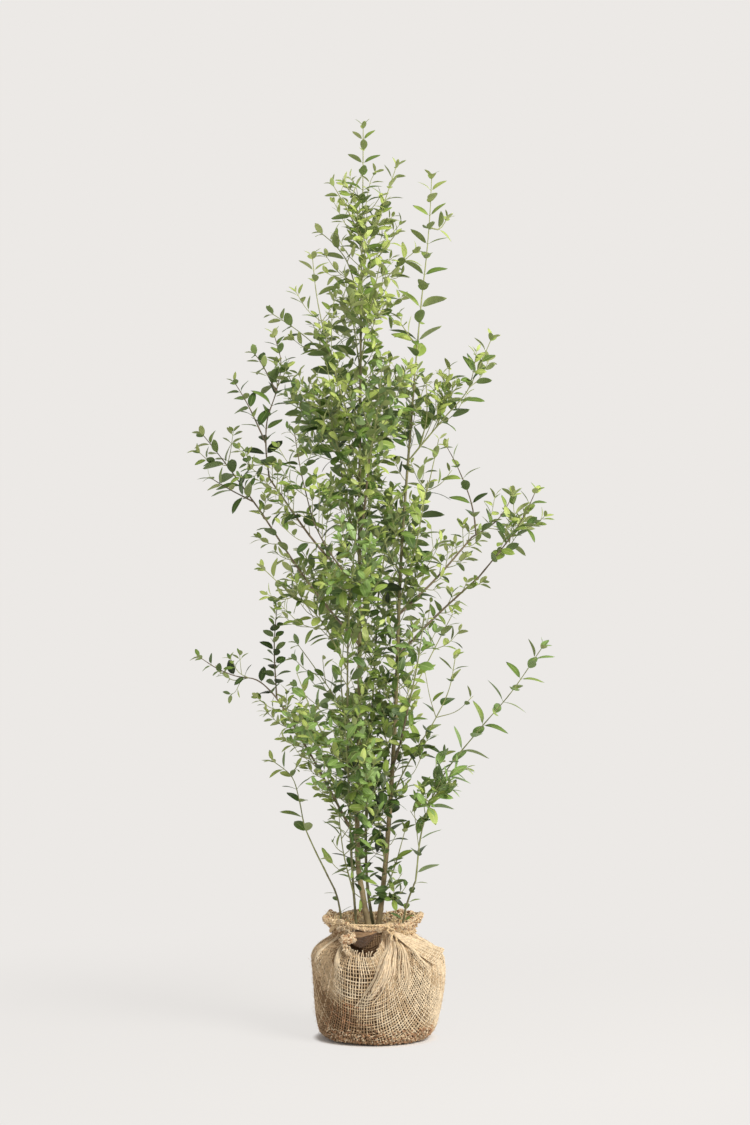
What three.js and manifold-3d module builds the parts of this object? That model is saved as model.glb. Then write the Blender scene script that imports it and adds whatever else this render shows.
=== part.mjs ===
// A many-stemmed hedging shrub, standing on its root ball of soil tied up in burlap.
// Millimetres, +Z up. The origin is the centre of the ball's flat underside, and the
// shrub is seen from the -Y side, with +X to the right.
import * as THREE from "three";
import { mergeVertices } from "three/addons/utils/BufferGeometryUtils.js";
import Module from "manifold-3d";

const wasm = await Module();
wasm.setup();

// Root ball
const SOIL_LEVEL = 198;
const CLOTH = 4; // the cloth's thickness, with its layers and folds
const NECK_SHIFT = -7; // the tied neck stands a little left of the ball's centre
const SECTORS = 26;
const GATHERS = 9; // folds of cloth drawn in under the twine
const TWINE = { radius: 2.4, level: 197, frontLift: 14, off: 1.6, lean: 0.92, sides: 4 };
const TEAR = { x: -18, y: -93, z: 180, width: 62, height: 28, depth: 44, turn: 0.35 };
const FLAP = { root: [50, -50, 190], tip: [121, -32, 166], low: [102, -75, 150], thickness: 3 };

// Limbs
const CLEAR = 0.35; // the gap between one piece and the next that it meets
const ROOT_FLARE = 0.4; // how much thicker a stem is at the soil
const FLARE_HEIGHT = 26;
const LIMB_STEP = 80; // between one ring of a limb's faces and the next
const LIMB_ROOM = 1.5; // kept between a leaf or twig and a limb
const LEAF_LINE = 55; // no leaf hangs lower than this above the soil

// Twigs and leaves
const LEAF = { length: 66, width: 31, widest: 0.46, depth: 0.032 };
const LEAF_SUNK = 0.3; // how far past the twig's axis a leaf's root goes
const TIP_SUNK = 1; // the same for the leaf that ends a shoot
const LEAF_ANGLE = { mean: 56, spread: 14, roll: 1.6 }; // degrees off the twig, and radians of roll
const YOUNG = 0.34; // how much smaller the leaves are towards a shoot's tip
const TIP_LEAF = 40; // the upright leaf that ends each shoot
const FIRST_PAIR = 24; // up a shoot from its root
const LAST_PAIR = 12; // down a shoot from its tip leaf
const NODE_GAP = 55; // between one pair of leaves and the next
const PAIR_TURN = Math.PI / 3; // each pair is turned on from the last, on the twig's next face
const TWIG_RADIUS = { root: 2.1, fork: 1.1, side: 0.65, tip: 0.75 };
const TWIG = { length: 100, step: 70, angle: 50, lift: 0.2, bare: 0.3, from: 0.15, to: 0.75 };
const REACH = 84; // how far a mass spreads round its own shoots
const MARGIN = 2.2; // kept between a mass and its neighbours' space
const TWIG_ROOM = 5; // kept between a leaf and a twig that isn't its own
const LEAF_ROOM = 20; // kept between the middles of two leaves

const UP = new THREE.Vector3(0, 0, 1);

// Each stem rises from the soil through the points of its path.
const STEMS = [
  { name: "stem_leader", base: 5.6, tip: 1.9,
    path: [[-9, -3, 185], [-23, -4, 257], [-35, -6, 360], [-31, -6, 632], [-31, 0, 950],
      [-28, 3, 1395]] },
  { name: "stem_right", base: 5.2, tip: 1.9,
    path: [[1, 13, 185], [11, 12, 257], [22, 11, 375], [36, 10, 594], [47, 0, 895], [72, -9, 1235]] },
  { name: "stem_back", base: 3.0, tip: 1.6,
    path: [[-2, 28, 185], [-17, 34, 290], [-18, 46, 430], [-4, 72, 670], [6, 88, 850]] },
  { name: "stem_front", base: 2.4, tip: 1.4,
    path: [[-34, -22, 185], [-43, -30, 295], [-49, -42, 430], [-53, -62, 650], [-49, -86, 860]] },
  { name: "stem_thin_left", base: 1.9, tip: 1.5,
    path: [[-60, -12, 185], [-72, -15, 262], [-94, -19, 312]] },
  { name: "stem_thin_right", base: 1.9, tip: 1.5,
    path: [[45, -10, 185], [57, -10, 248], [74, -15, 295]] },
];

// Each bough leaves its stem at a height, and bends by bow, a share of its length.
const BOUGHS = [
  { name: "bough_left_low", on: "stem_front", height: 395, tip: [-172, -36, 618], bow: 0.02 },
  { name: "bough_left_mid", on: "stem_leader", height: 735, tip: [-221, 50, 990], bow: -0.04 },
  { name: "bough_left_dark", on: "stem_leader", height: 838, tip: [-198, -56, 1046], bow: -0.05 },
  { name: "bough_right_mid", on: "stem_right", height: 792, tip: [182, 56, 938], bow: -0.03 },
  { name: "bough_right_long", on: "stem_right", height: 715, tip: [190, -48, 862], bow: 0.02 },
  { name: "bough_front_low", on: "stem_right", height: 505, tip: [62, -118, 640], bow: -0.06 },
  { name: "bough_front_mid", on: "stem_leader", height: 925, tip: [-12, -128, 1082], bow: -0.06 },
  { name: "bough_back_low", on: "stem_back", height: 440, tip: [-62, 158, 600], bow: -0.06 },
  { name: "bough_back_mid", on: "stem_leader", height: 900, tip: [-66, 132, 1062], bow: -0.06 },
];
const BOUGH_BASE = 2.5;
const BOUGH_TIP = 1.6;

// Each mass grows along its own shoot, from a height on a stem or from a limb's tip. The
// last point of path is the furthest leaf's tip. A fork leaves the shoot at a share of its
// length. Twigs is how many side twigs the shoot and its forks have.
const MASSES = [
  { name: "top_middle", on: "stem_leader", path: [[-25, 0, 1560], [-24, 0, 1722]], twigs: 3,
    forks: [
      { at: 0.31, path: [[-52, -24, 1546], [-88, -38, 1606]] },
      { at: 0.2, path: [[4, 22, 1535], [43, 35, 1652]] },
      { at: 0.09, path: [[12, -28, 1470], [46, -54, 1512]] },
    ] },
  { name: "top_right", on: "stem_right", twigs: 2,
    path: [[84, -11, 1370], [98, -12, 1500], [105, -10, 1626]],
    forks: [
      { at: 0.75, path: [[120, 0, 1516], [140, 4, 1548]] },
      { at: 0.16, path: [[62, -36, 1312], [40, -60, 1342]] },
    ] },
  { name: "top_left", on: "stem_leader", height: 1366, twigs: 2,
    path: [[-58, 30, 1464], [-114, 50, 1524]] },
  { name: "top_back", on: "stem_leader", height: 1326, twigs: 3,
    path: [[18, 44, 1425], [84, 62, 1490]] },
  { name: "high_front", on: "stem_leader", height: 1262, twigs: 4,
    path: [[-12, -62, 1352], [10, -104, 1450]] },
  { name: "high_back", on: "stem_leader", height: 1246, twigs: 4,
    path: [[-44, 74, 1350], [-62, 118, 1452]] },
  { name: "left_shoot", on: "stem_leader", height: 1105, twigs: 4,
    path: [[-62, -28, 1195], [-104, -50, 1350], [-120, -52, 1472]] },
  { name: "left_high", on: "stem_leader", height: 1150, twigs: 3,
    path: [[-80, 50, 1262], [-152, 82, 1334], [-212, 94, 1374]] },
  { name: "left_upper", on: "stem_leader", height: 1040, twigs: 4,
    path: [[-96, 20, 1132], [-140, 24, 1190], [-176, 30, 1268]] },
  { name: "left_dark", on: "bough_left_dark", twigs: 3,
    path: [[-204, -62, 1140], [-176, -62, 1245], [-192, -52, 1326]],
    forks: [
      { at: 0.24, path: [[-236, -84, 1180], [-268, -92, 1234]] },
      { at: 0.6, path: [[-214, -38, 1262], [-236, -26, 1290]] },
    ] },
  { name: "left_mid", on: "bough_left_mid", path: [[-286, 72, 1078], [-340, 86, 1146]], twigs: 3,
    forks: [{ at: 0.1, path: [[-280, 34, 1030], [-322, 14, 1056]] }] },
  { name: "left_inner", on: "stem_front", twigs: 4,
    path: [[-104, -100, 940], [-134, -112, 1040], [-152, -112, 1144]] },
  { name: "left_arch", on: "stem_front", height: 690, twigs: 3,
    path: [[-104, -98, 788], [-162, -118, 838], [-216, -132, 888]] },
  { name: "left_low", on: "bough_left_low", twigs: 2,
    path: [[-214, -46, 668], [-276, -58, 684], [-338, -68, 722]],
    forks: [{ at: 0.12, path: [[-190, -24, 735], [-184, -12, 820]] }] },
  { name: "left_bush", on: "stem_front", height: 500, twigs: 6,
    path: [[-106, -100, 590], [-150, -118, 700]] },
  { name: "left_back_low", on: "stem_back", height: 520, twigs: 4,
    path: [[-84, 100, 640], [-160, 142, 745]] },
  { name: "left_back_mid", on: "stem_back", height: 700, twigs: 4,
    path: [[-76, 126, 810], [-152, 178, 925]] },
  { name: "left_foot", on: "stem_thin_left", twigs: 1,
    path: [[-132, -28, 395], [-154, -36, 486], [-202, -52, 530]],
    forks: [{ at: 0.82, path: [[-140, -62, 520]] }] },
  { name: "front_foot", on: "stem_front", height: 272, twigs: 1,
    path: [[-60, -62, 350], [-70, -92, 440]] },
  { name: "front_low", on: "stem_front", height: 350, twigs: 5,
    path: [[-52, -110, 500], [-58, -196, 640]] },
  { name: "front_low_right", on: "bough_front_low", twigs: 4,
    path: [[74, -160, 700], [88, -208, 800]] },
  { name: "front_mid", on: "stem_front", height: 770, twigs: 5,
    path: [[-44, -140, 860], [-32, -214, 975]] },
  { name: "front_mid_right", on: "stem_right", height: 815, twigs: 5,
    path: [[72, -72, 915], [96, -164, 1050]] },
  { name: "front_upper", on: "bough_front_mid", twigs: 4,
    path: [[0, -160, 1150], [12, -190, 1255]] },
  { name: "front_upper_left", on: "stem_leader", height: 1010, twigs: 4,
    path: [[-66, -62, 1090], [-98, -126, 1210]] },
  { name: "back_foot", on: "stem_back", height: 290, twigs: 1,
    path: [[-20, 84, 370], [-6, 116, 470]] },
  { name: "back_low", on: "bough_back_low", path: [[-68, 198, 665], [-60, 236, 765]], twigs: 3 },
  { name: "back_low_right", on: "stem_back", height: 470, twigs: 5,
    path: [[44, 118, 590], [88, 180, 720]] },
  { name: "back_mid", on: "stem_back", path: [[22, 138, 935], [34, 206, 1045]], twigs: 5 },
  { name: "back_mid_right", on: "stem_right", height: 905, twigs: 4,
    path: [[92, 76, 1010], [124, 156, 1140]] },
  { name: "back_upper", on: "bough_back_mid", twigs: 3,
    path: [[-72, 168, 1140], [-76, 190, 1258]] },
  { name: "back_upper_right", on: "stem_leader", height: 1072, twigs: 4,
    path: [[4, 70, 1160], [30, 138, 1290]] },
  { name: "right_upper", on: "stem_right", height: 1080, twigs: 4,
    path: [[122, -24, 1154], [170, -40, 1210], [220, -56, 1318]],
    forks: [
      { at: 0.3, path: [[134, -2, 1205], [138, 12, 1270]] },
      { at: 0.12, path: [[94, -52, 1160], [92, -66, 1240]] },
    ] },
  { name: "right_mid", on: "bough_right_mid", path: [[232, 68, 972], [266, 78, 1028]], twigs: 2,
    forks: [{ at: 0.08, path: [[182, 62, 1000], [156, 54, 1068], [127, 44, 1122]] }] },
  { name: "right_long", on: "bough_right_long", twigs: 3,
    path: [[238, -64, 922], [270, -76, 970], [300, -90, 1034]] },
  { name: "right_fork", on: "stem_right", height: 600, twigs: 4,
    path: [[70, 34, 650], [128, 78, 758], [152, 94, 802]] },
  { name: "right_low", on: "stem_right", height: 440, twigs: 4,
    path: [[60, -22, 515], [128, -54, 634], [150, -66, 730]] },
  { name: "right_low_long", on: "stem_thin_right", twigs: 3,
    path: [[97, -26, 441], [147, -36, 520], [206, -52, 598], [254, -60, 654], [316, -72, 746]] },
  { name: "right_foot", on: "stem_right", height: 262, twigs: 1,
    path: [[34, -12, 318], [58, -30, 405]] },
  { name: "middle_foot", on: "stem_right", height: 322, twigs: 1,
    path: [[6, -34, 400], [-4, -66, 490]] },
];

const vec = (p) => new THREE.Vector3(p[0], p[1], p[2]);

function seededRandom(seed) {
  let state = Math.imul(seed + 7, 2654435761) >>> 0;
  return () => {
    state = (Math.imul(state, 1664525) + 1013904223) >>> 0;
    return state / 4294967296;
  };
}

// Solids

function solidOf(geometry) {
  geometry.deleteAttribute("normal");
  geometry.deleteAttribute("uv");
  const merged = mergeVertices(geometry, 1e-4);
  const vertProperties = merged.attributes.position.array;
  const triVerts = new Uint32Array(merged.index.array);
  return new wasm.Manifold(new wasm.Mesh({ numProp: 3, vertProperties, triVerts }));
}

function geometryOf(solid) {
  const { vertProperties, triVerts } = solid.getMesh();
  const geometry = new THREE.BufferGeometry();
  geometry.setAttribute("position", new THREE.BufferAttribute(new Float32Array(vertProperties), 3));
  geometry.setIndex(new THREE.BufferAttribute(new Uint32Array(triVerts), 1));
  geometry.computeVertexNormals();
  return geometry;
}

// The largest body of a joined solid: loose scraps and sealed hollows are dropped.
function largestBody(solid) {
  return solid.decompose().reduce((a, b) => (b.volume() > a.volume() ? b : a));
}

// Limbs

function curveThrough(points) {
  return new THREE.CatmullRomCurve3(points, false, "catmullrom", 0.5);
}

// The centre and frame of each ring of a tube along the curve.
function ringsAlong(curve, steps) {
  const { tangents, normals, binormals } = curve.computeFrenetFrames(steps);
  return tangents.map((tangent, i) => {
    return { centre: curve.getPointAt(i / steps), tangent, up: normals[i], across: binormals[i] };
  });
}

// A closed tube through the rings. Its radius at each share of the length is radiusAt.
function tubeThrough(rings, radiusAt, sides) {
  const steps = rings.length - 1;
  const tube = new THREE.CylinderGeometry(1, 1, 1, sides, steps);
  const position = tube.attributes.position;
  for (let i = 0; i < position.count; i++) {
    const step = Math.round((position.getY(i) + 0.5) * steps);
    const { centre, across, up } = rings[step];
    const radius = radiusAt(step / steps);
    const point = centre
      .clone()
      .addScaledVector(across, position.getX(i) * radius)
      .addScaledVector(up, position.getZ(i) * radius);
    position.setXYZ(i, point.x, point.y, point.z);
  }
  return solidOf(tube);
}

function makeLimb(curve, base, tip, sides, flare = 0) {
  const length = curve.getLength();
  const rings = ringsAlong(curve, Math.max(3, Math.round(length / LIMB_STEP)));
  const radiusAt = (t) =>
    base * (1 + flare * Math.exp((-t * length) / FLARE_HEIGHT)) + (tip - base) * t ** 0.85;
  const solid = tubeThrough(rings, radiusAt, sides);
  const last = rings[rings.length - 1];
  const beyond = { ...last, centre: last.centre.clone().addScaledVector(last.tangent, CLEAR) };
  const room = tubeThrough([...rings.slice(0, -1), beyond], (t) => radiusAt(t) + CLEAR * 1.3, sides);
  const line = rings.map((ring) => ring.centre);
  return { curve, length, radius: radiusAt(0.1), line, solid, room };
}

// The share of an upright limb's length at which it passes a height.
function shareAtHeight(limb, height) {
  let low = 0;
  let high = 1;
  for (let i = 0; i < 30; i++) {
    const middle = (low + high) / 2;
    if (limb.curve.getPointAt(middle).z < height) low = middle;
    else high = middle;
  }
  return low;
}

const limbs = new Map();

for (const { name, base, tip, path } of STEMS) {
  const limb = makeLimb(curveThrough(path.map(vec)), base, tip, base > 4 ? 7 : 6, ROOT_FLARE);
  limb.solid = limb.solid.trimByPlane([0, 0, 1], SOIL_LEVEL + CLEAR);
  limbs.set(name, limb);
}

for (const { name, on, height, tip, bow } of BOUGHS) {
  const stem = limbs.get(on);
  const start = stem.curve.getPointAt(shareAtHeight(stem, height));
  const end = vec(tip);
  const middle = start.clone().lerp(end, 0.5).addScaledVector(UP, bow * start.distanceTo(end));
  const limb = makeLimb(curveThrough([start, middle, end]), BOUGH_BASE, BOUGH_TIP, 5);
  limb.solid = largestBody(limb.solid.subtract(stem.room));
  limbs.set(name, limb);
}

// Masses of leaves

function distanceToLine(point, line) {
  const segment = new THREE.Line3();
  const nearest = new THREE.Vector3();
  let best = Infinity;
  for (let i = 1; i < line.length; i++) {
    segment.set(line[i - 1], line[i]).closestPointToPoint(point, true, nearest);
    best = Math.min(best, nearest.distanceTo(point));
  }
  return best;
}

// A shoot is a twig along the path as far as the root of the leaf that ends it.
function makeShoot(points, radius = TWIG_RADIUS.root, firstPair = FIRST_PAIR) {
  const whole = curveThrough(points);
  const share = 1 - TIP_LEAF / whole.getLength();
  const shares = [0, 0.25, 0.5, 0.75, 1].map((t) => t * share);
  const curve = curveThrough(shares.map((t) => whole.getPointAt(t)));
  const length = curve.getLength();
  const rings = ringsAlong(curve, Math.max(1, Math.round(length / TWIG.step)));
  return { length, rings, radius, firstPair, tip: points[points.length - 1] };
}

// The shoots of every mass are laid out first, because they divide the crown between them.
function layOutShoots({ on, height, path, forks = [] }) {
  const limb = limbs.get(on);
  const start = limb.curve.getPointAt(height ? shareAtHeight(limb, height) : 1);
  const main = makeShoot([start, ...path.map(vec)]);
  const shoots = [main];
  for (const fork of forks) {
    const root = pointOnShoot(main, fork.at).centre;
    shoots.push(makeShoot([root, ...fork.path.map(vec)], TWIG_RADIUS.fork));
  }
  const lines = shoots.map(({ rings, tip }) => [...rings.map((ring) => ring.centre), tip]);
  return { shoots, lines };
}

// A point on a twig's axis, with the frame there.
function pointOnShoot({ rings }, share) {
  const place = Math.min(share * (rings.length - 1), rings.length - 1.001);
  const [a, b] = [rings[Math.floor(place)], rings[Math.floor(place) + 1]];
  const between = (key) => a[key].clone().lerp(b[key], place % 1);
  const tangent = b.centre.clone().sub(a.centre).normalize();
  const [centre, across, up] = [between("centre"), between("across"), between("up")];
  return { centre, tangent, across: across.normalize(), up: up.normalize() };
}

const crown = MASSES.map((mass, i) => {
  return { ...mass, ...layOutShoots(mass), random: seededRandom(i), leaves: [], pieces: [] };
});

function clearOfLimbs(point) {
  for (const { line, radius } of limbs.values())
    if (distanceToLine(point, line) < radius + LIMB_ROOM) return false;
  return point.z > SOIL_LEVEL + LEAF_LINE;
}

function inOwnSpace(mass, point) {
  const nearest = (lines) => Math.min(...lines.map((line) => distanceToLine(point, line)));
  const own = nearest(mass.lines);
  const free = (other) => other === mass || nearest(other.lines) > own + MARGIN;
  return own < REACH && clearOfLimbs(point) && crown.every(free);
}

function clearOfTwigs(mass, point) {
  return mass.shoots.every(({ rings }) => {
    return distanceToLine(point, rings.map((ring) => ring.centre)) > TWIG_ROOM;
  });
}

// One leaf: a thin tetrahedron, with its keel along the midrib and its sides a little higher.
function makeLeaf(root, along, across, face, length) {
  const width = (LEAF.width * length) / LEAF.length;
  const leaf = new THREE.TetrahedronGeometry(1);
  const position = leaf.attributes.position;
  for (let i = 0; i < position.count; i++) {
    const [x, y] = [Math.sign(position.getX(i)), Math.sign(position.getY(i))];
    const onMidrib = x === y;
    const reach = onMidrib ? (1 - x) / 2 : LEAF.widest;
    const point = root.clone().addScaledVector(along, reach * length);
    if (!onMidrib) point.addScaledVector(across, (x * width) / 2);
    if (!onMidrib) point.addScaledVector(face, LEAF.depth * length);
    position.setXYZ(i, point.x, point.y, point.z);
  }
  return solidOf(leaf);
}

// A leaf is left out where it would leave the mass's own space, touch a limb or a twig, or
// lie on another leaf.
function addLeaf(mass, root, along, length) {
  const across = new THREE.Vector3().crossVectors(along, UP);
  if (across.length() < 0.1) across.set(1, 0, 0);
  across.normalize().applyAxisAngle(along, LEAF_ANGLE.roll * (mass.random() - 0.5));
  const face = new THREE.Vector3().crossVectors(across, along);
  const width = (LEAF.width * length) / LEAF.length;
  const at = (reach, sideways) =>
    root.clone().addScaledVector(along, reach * length).addScaledVector(across, sideways * width);
  const points = [at(0.5, 0), at(0.5, 0.5), at(0.5, -0.5), at(0.3, 0), at(0.75, 0), at(1, 0)];
  const crowded = mass.leaves.some((leaf) => leaf.distanceTo(points[0]) < LEAF_ROOM);
  const free = (point) => inOwnSpace(mass, point) && clearOfTwigs(mass, point);
  if (crowded || !points.every(free)) return;
  mass.leaves.push(points[0]);
  mass.pieces.push(makeLeaf(root, along, across, face, length));
}

function leaning(tangent, side, degrees) {
  const angle = THREE.MathUtils.degToRad(degrees);
  return tangent.clone().multiplyScalar(Math.cos(angle)).addScaledVector(side, Math.sin(angle));
}

// Pairs of opposite leaves up a shoot, and the leaf that ends it.
function growLeaves(mass, shoot) {
  const { length, rings, tip, firstPair } = shoot;
  const leafy = length - firstPair - LAST_PAIR;
  const gaps = Math.max(0, Math.round(leafy / NODE_GAP));
  let turn = PAIR_TURN * (1 + 2 * Math.floor(mass.random() * 3));
  for (let i = 0; i <= gaps; i++) {
    const along = firstPair + (gaps ? (leafy * i) / gaps : 0);
    const { centre, tangent, across, up } = pointOnShoot(shoot, along / length);
    const side = across.multiplyScalar(Math.sin(turn)).addScaledVector(up, Math.cos(turn));
    for (const sign of [1, -1]) {
      const size = LEAF.length * (1 - (YOUNG * i) / (gaps + 1)) * (0.9 + 0.2 * mass.random());
      const angle = LEAF_ANGLE.mean + LEAF_ANGLE.spread * (mass.random() - 0.5);
      const heading = leaning(tangent, side, sign * angle);
      addLeaf(mass, centre.clone().addScaledVector(heading, -LEAF_SUNK), heading, size);
    }
    turn += PAIR_TURN;
  }
  const end = rings[rings.length - 1].centre;
  const heading = tip.clone().sub(end).normalize();
  const root = end.clone().addScaledVector(heading, -TIP_SUNK);
  addLeaf(mass, root, heading, root.distanceTo(tip));
}

// A side twig leaves its shoot at an angle and turns upwards.
function growTwig(mass, shoot, share, turn) {
  const { centre, tangent, across, up } = pointOnShoot(shoot, share);
  const side = across.multiplyScalar(Math.sin(turn)).addScaledVector(up, Math.cos(turn));
  const length = TWIG.length * (0.85 + 0.3 * mass.random());
  const half = leaning(tangent, side, TWIG.angle).multiplyScalar(length / 2);
  const middle = centre.clone().add(half);
  const tip = middle.clone().addScaledVector(half, 1 - TWIG.lift).addScaledVector(UP, TWIG.lift * length);
  const free = (point) => inOwnSpace(mass, point) && clearOfTwigs(mass, point);
  if (free(middle) && free(tip))
    mass.shoots.push(makeShoot([centre, middle, tip], TWIG_RADIUS.side, TWIG.bare * length));
}

// Side twigs are tried all round the shoots until the mass has as many as it should.
function growMass(mass) {
  const main = [...mass.shoots];
  const wanted = main.length + mass.twigs;
  let turn = PAIR_TURN;
  for (let i = 0; i < mass.twigs * 4 && mass.shoots.length < wanted; i++) {
    const place = ((i * 0.618) % 1) * 0.8 + 0.2 * mass.random();
    growTwig(mass, main[i % main.length], TWIG.from + (TWIG.to - TWIG.from) * place, turn);
    turn += 2 * PAIR_TURN;
  }
  for (const { rings, radius } of mass.shoots) {
    const radiusAt = (share) => radius + (TWIG_RADIUS.tip - radius) * share;
    mass.pieces.push(tubeThrough(rings, radiusAt, 3));
  }
  for (const shoot of mass.shoots) growLeaves(mass, shoot);
  const solid = wasm.Manifold.union(mass.pieces).subtract(limbs.get(mass.on).room);
  return largestBody(solid).simplify(0.01);
}

// Root ball

// The ball's outline, as radius and height, from the underside's rim up past the tied neck
// to the cloth's free edge, which stands up and flares above the twine.
const BALL = [
  [92, 0], [107, 14], [116, 50], [122, 96], [124, 130], [119, 155], [100, 176], [77, 189],
];
const COLLAR = [[71, 194], [72, 201], [82, 211], [91, 222], [93, 231]];
const [RIM_RADIUS, RIM_LEVEL] = COLLAR[COLLAR.length - 1];
const RIM_FROM = 206; // the rim's waves and its lower front begin at this height

// How far the folds of the gathered cloth push a point in or out: most at the shoulder and
// collar, and least at the foot.
function foldAt(angle, z) {
  const gathered = THREE.MathUtils.smoothstep(z, 95, 185);
  const waves = Math.cos(GATHERS * angle + 0.6) + 0.5 * Math.cos(5 * angle + 2.1);
  const ruffle = THREE.MathUtils.smoothstep(z, 205, 228) * 3 * Math.cos(7 * angle + 1);
  return waves * (0.9 + 1.9 * gathered) + ruffle;
}

function atFront(angle) {
  return Math.max(0, -Math.sin(angle)) ** 1.5;
}

// Lathes a profile and drapes it: its rings follow the folds and shift over to the neck.
function drape(profile) {
  const lathe = new THREE.LatheGeometry(profile.map(([r, z]) => new THREE.Vector2(r, z)), SECTORS);
  const position = lathe.attributes.position;
  for (let i = 0; i < position.count; i++) {
    const [x, z, y] = [position.getX(i), position.getY(i), position.getZ(i)];
    const radius = Math.hypot(x, y);
    const angle = radius > 0.01 ? Math.atan2(y, x) : 0;
    const share = radius > 0.01 && z > 1 ? 1 + foldAt(angle, z) / radius : 1;
    const shift = NECK_SHIFT * THREE.MathUtils.smoothstep(z, 60, 194);
    const rim = 3 * Math.cos(6 * angle + 1) - 7 * atFront(angle);
    const lift = (rim * Math.max(0, z - RIM_FROM)) / (RIM_LEVEL - RIM_FROM);
    position.setXYZ(i, x * share + shift, y * share, z + lift);
  }
  // The lathe turned about Y is mirrored by taking its Z for Y, so each face is turned back.
  for (let i = 0; i < lathe.index.count; i += 3) {
    const first = lathe.index.getX(i);
    lathe.index.setX(i, lathe.index.getX(i + 1));
    lathe.index.setX(i + 1, first);
  }
  return solidOf(lathe);
}

// The same profile drawn in by the cloth's thickness and any gap.
function insideOf(profile, inset) {
  return profile.map(([r, z]) => [r - inset, Math.max(z, inset)]);
}

// Every second point of the outline is enough for the cloth's inside and for the soil.
const LINING = BALL.filter((point, i) => i % 2 === 0);

function makeSoil(gap) {
  const side = insideOf(LINING, CLOTH + gap);
  const neck = insideOf(COLLAR.slice(0, 1), CLOTH + gap);
  const [[neckRadius]] = neck;
  return drape([[0, CLOTH + gap], ...side, ...neck, [neckRadius, SOIL_LEVEL], [0, SOIL_LEVEL]]);
}

// A corner of the cloth that sticks out to the right from under the twine.
function makeFlap() {
  const [root, tip, low] = [FLAP.root, FLAP.tip, FLAP.low].map(vec);
  const right = tip.clone().sub(root);
  const down = low.clone().sub(root);
  const outwards = new THREE.Vector3().crossVectors(down, right).normalize();
  const along = right.clone().normalize();
  const across = new THREE.Vector3().crossVectors(outwards, along);
  const outline = [root, tip, low].map((p) => p.clone().sub(root));
  const shape = new THREE.Shape(outline.map((p) => new THREE.Vector2(p.dot(along), p.dot(across))));
  const flap = new THREE.ExtrudeGeometry(shape, { depth: FLAP.thickness, bevelEnabled: false });
  flap.applyMatrix4(new THREE.Matrix4().makeBasis(along, across, outwards).setPosition(root));
  return solidOf(flap);
}

function makeWrap() {
  const above = RIM_LEVEL + 30; // clear of the rim's waves
  const outside = drape([[0, 0], ...BALL, ...COLLAR, [0, RIM_LEVEL]]);
  const lining = insideOf([...LINING, ...COLLAR, [RIM_RADIUS, above]], CLOTH);
  const inside = drape([[0, CLOTH], ...lining, [0, above]]);
  const tear = new THREE.SphereGeometry(0.5, 10, 6);
  tear.scale(TEAR.width, TEAR.depth, TEAR.height).rotateY(TEAR.turn).translate(TEAR.x, TEAR.y, TEAR.z);
  const wrap = outside.add(makeFlap()).subtract(inside).subtract(solidOf(tear));
  return largestBody(wrap).simplify(0.01);
}

// The twine lies round the neck, and rises at the front where it crosses the collar.
function makeTwine() {
  const [, [neckRadius]] = COLLAR;
  const ring = new THREE.TorusGeometry(neckRadius, TWINE.radius, TWINE.sides, SECTORS);
  const position = ring.attributes.position;
  for (let i = 0; i < position.count; i++) {
    const [x, y, z] = [position.getX(i), position.getY(i), position.getZ(i)];
    const angle = Math.atan2(y, x);
    const lift = TWINE.frontLift * atFront(angle);
    const out = TWINE.radius + TWINE.off + foldAt(angle, TWINE.level) + TWINE.lean * lift;
    const share = 1 + out / Math.hypot(x, y);
    position.setXYZ(i, x * share + NECK_SHIFT, y * share, z + TWINE.level + lift);
  }
  return solidOf(ring);
}

// The finished group

const finishes = {
  burlap: new THREE.MeshStandardMaterial({ color: 0xb79b72, roughness: 0.95, metalness: 0 }),
  twine: new THREE.MeshStandardMaterial({ color: 0xc9b48c, roughness: 0.9, metalness: 0 }),
  soil: new THREE.MeshStandardMaterial({ color: 0x3b2a1c, roughness: 1, metalness: 0 }),
  bark: new THREE.MeshStandardMaterial({ color: 0x8d7a5e, roughness: 0.85, metalness: 0 }),
  foliage: new THREE.MeshStandardMaterial({ color: 0x6c8f3c, roughness: 0.55, metalness: 0 }),
};

const group = new THREE.Group();

function place(name, solid, finish) {
  const mesh = new THREE.Mesh(geometryOf(solid), finishes[finish]);
  mesh.name = name;
  group.add(mesh);
}

place("soil_ball", makeSoil(CLEAR), "soil");
place("burlap_wrap", makeWrap(), "burlap");
place("twine", makeTwine(), "twine");
for (const [name, limb] of limbs) place(name, limb.solid, "bark");
for (const mass of crown) place(`leaves_${mass.name}`, growMass(mass), "foliage");

export default group;
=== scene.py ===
# A many-stemmed hedging shrub on its root ball, dressed for a studio picture.
# Sizes in the dictionaries are millimetres, angles are degrees, colours are sRGB out of 255.
import math
import bpy
import mathutils
import numpy as np
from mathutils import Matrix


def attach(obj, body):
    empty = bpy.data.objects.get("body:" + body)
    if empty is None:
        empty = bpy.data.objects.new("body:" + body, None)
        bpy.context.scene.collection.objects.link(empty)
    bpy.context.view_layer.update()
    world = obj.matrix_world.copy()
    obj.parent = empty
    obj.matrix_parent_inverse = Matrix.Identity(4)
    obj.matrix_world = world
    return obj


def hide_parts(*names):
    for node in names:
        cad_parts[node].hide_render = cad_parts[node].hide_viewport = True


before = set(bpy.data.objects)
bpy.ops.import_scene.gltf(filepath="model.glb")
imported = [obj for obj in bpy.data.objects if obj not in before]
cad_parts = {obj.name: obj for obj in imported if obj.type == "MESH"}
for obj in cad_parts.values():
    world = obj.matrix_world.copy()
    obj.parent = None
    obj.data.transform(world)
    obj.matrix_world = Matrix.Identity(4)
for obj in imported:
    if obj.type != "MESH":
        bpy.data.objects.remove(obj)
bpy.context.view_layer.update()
print("frame loaded:", len(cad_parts), "nodes")

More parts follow.
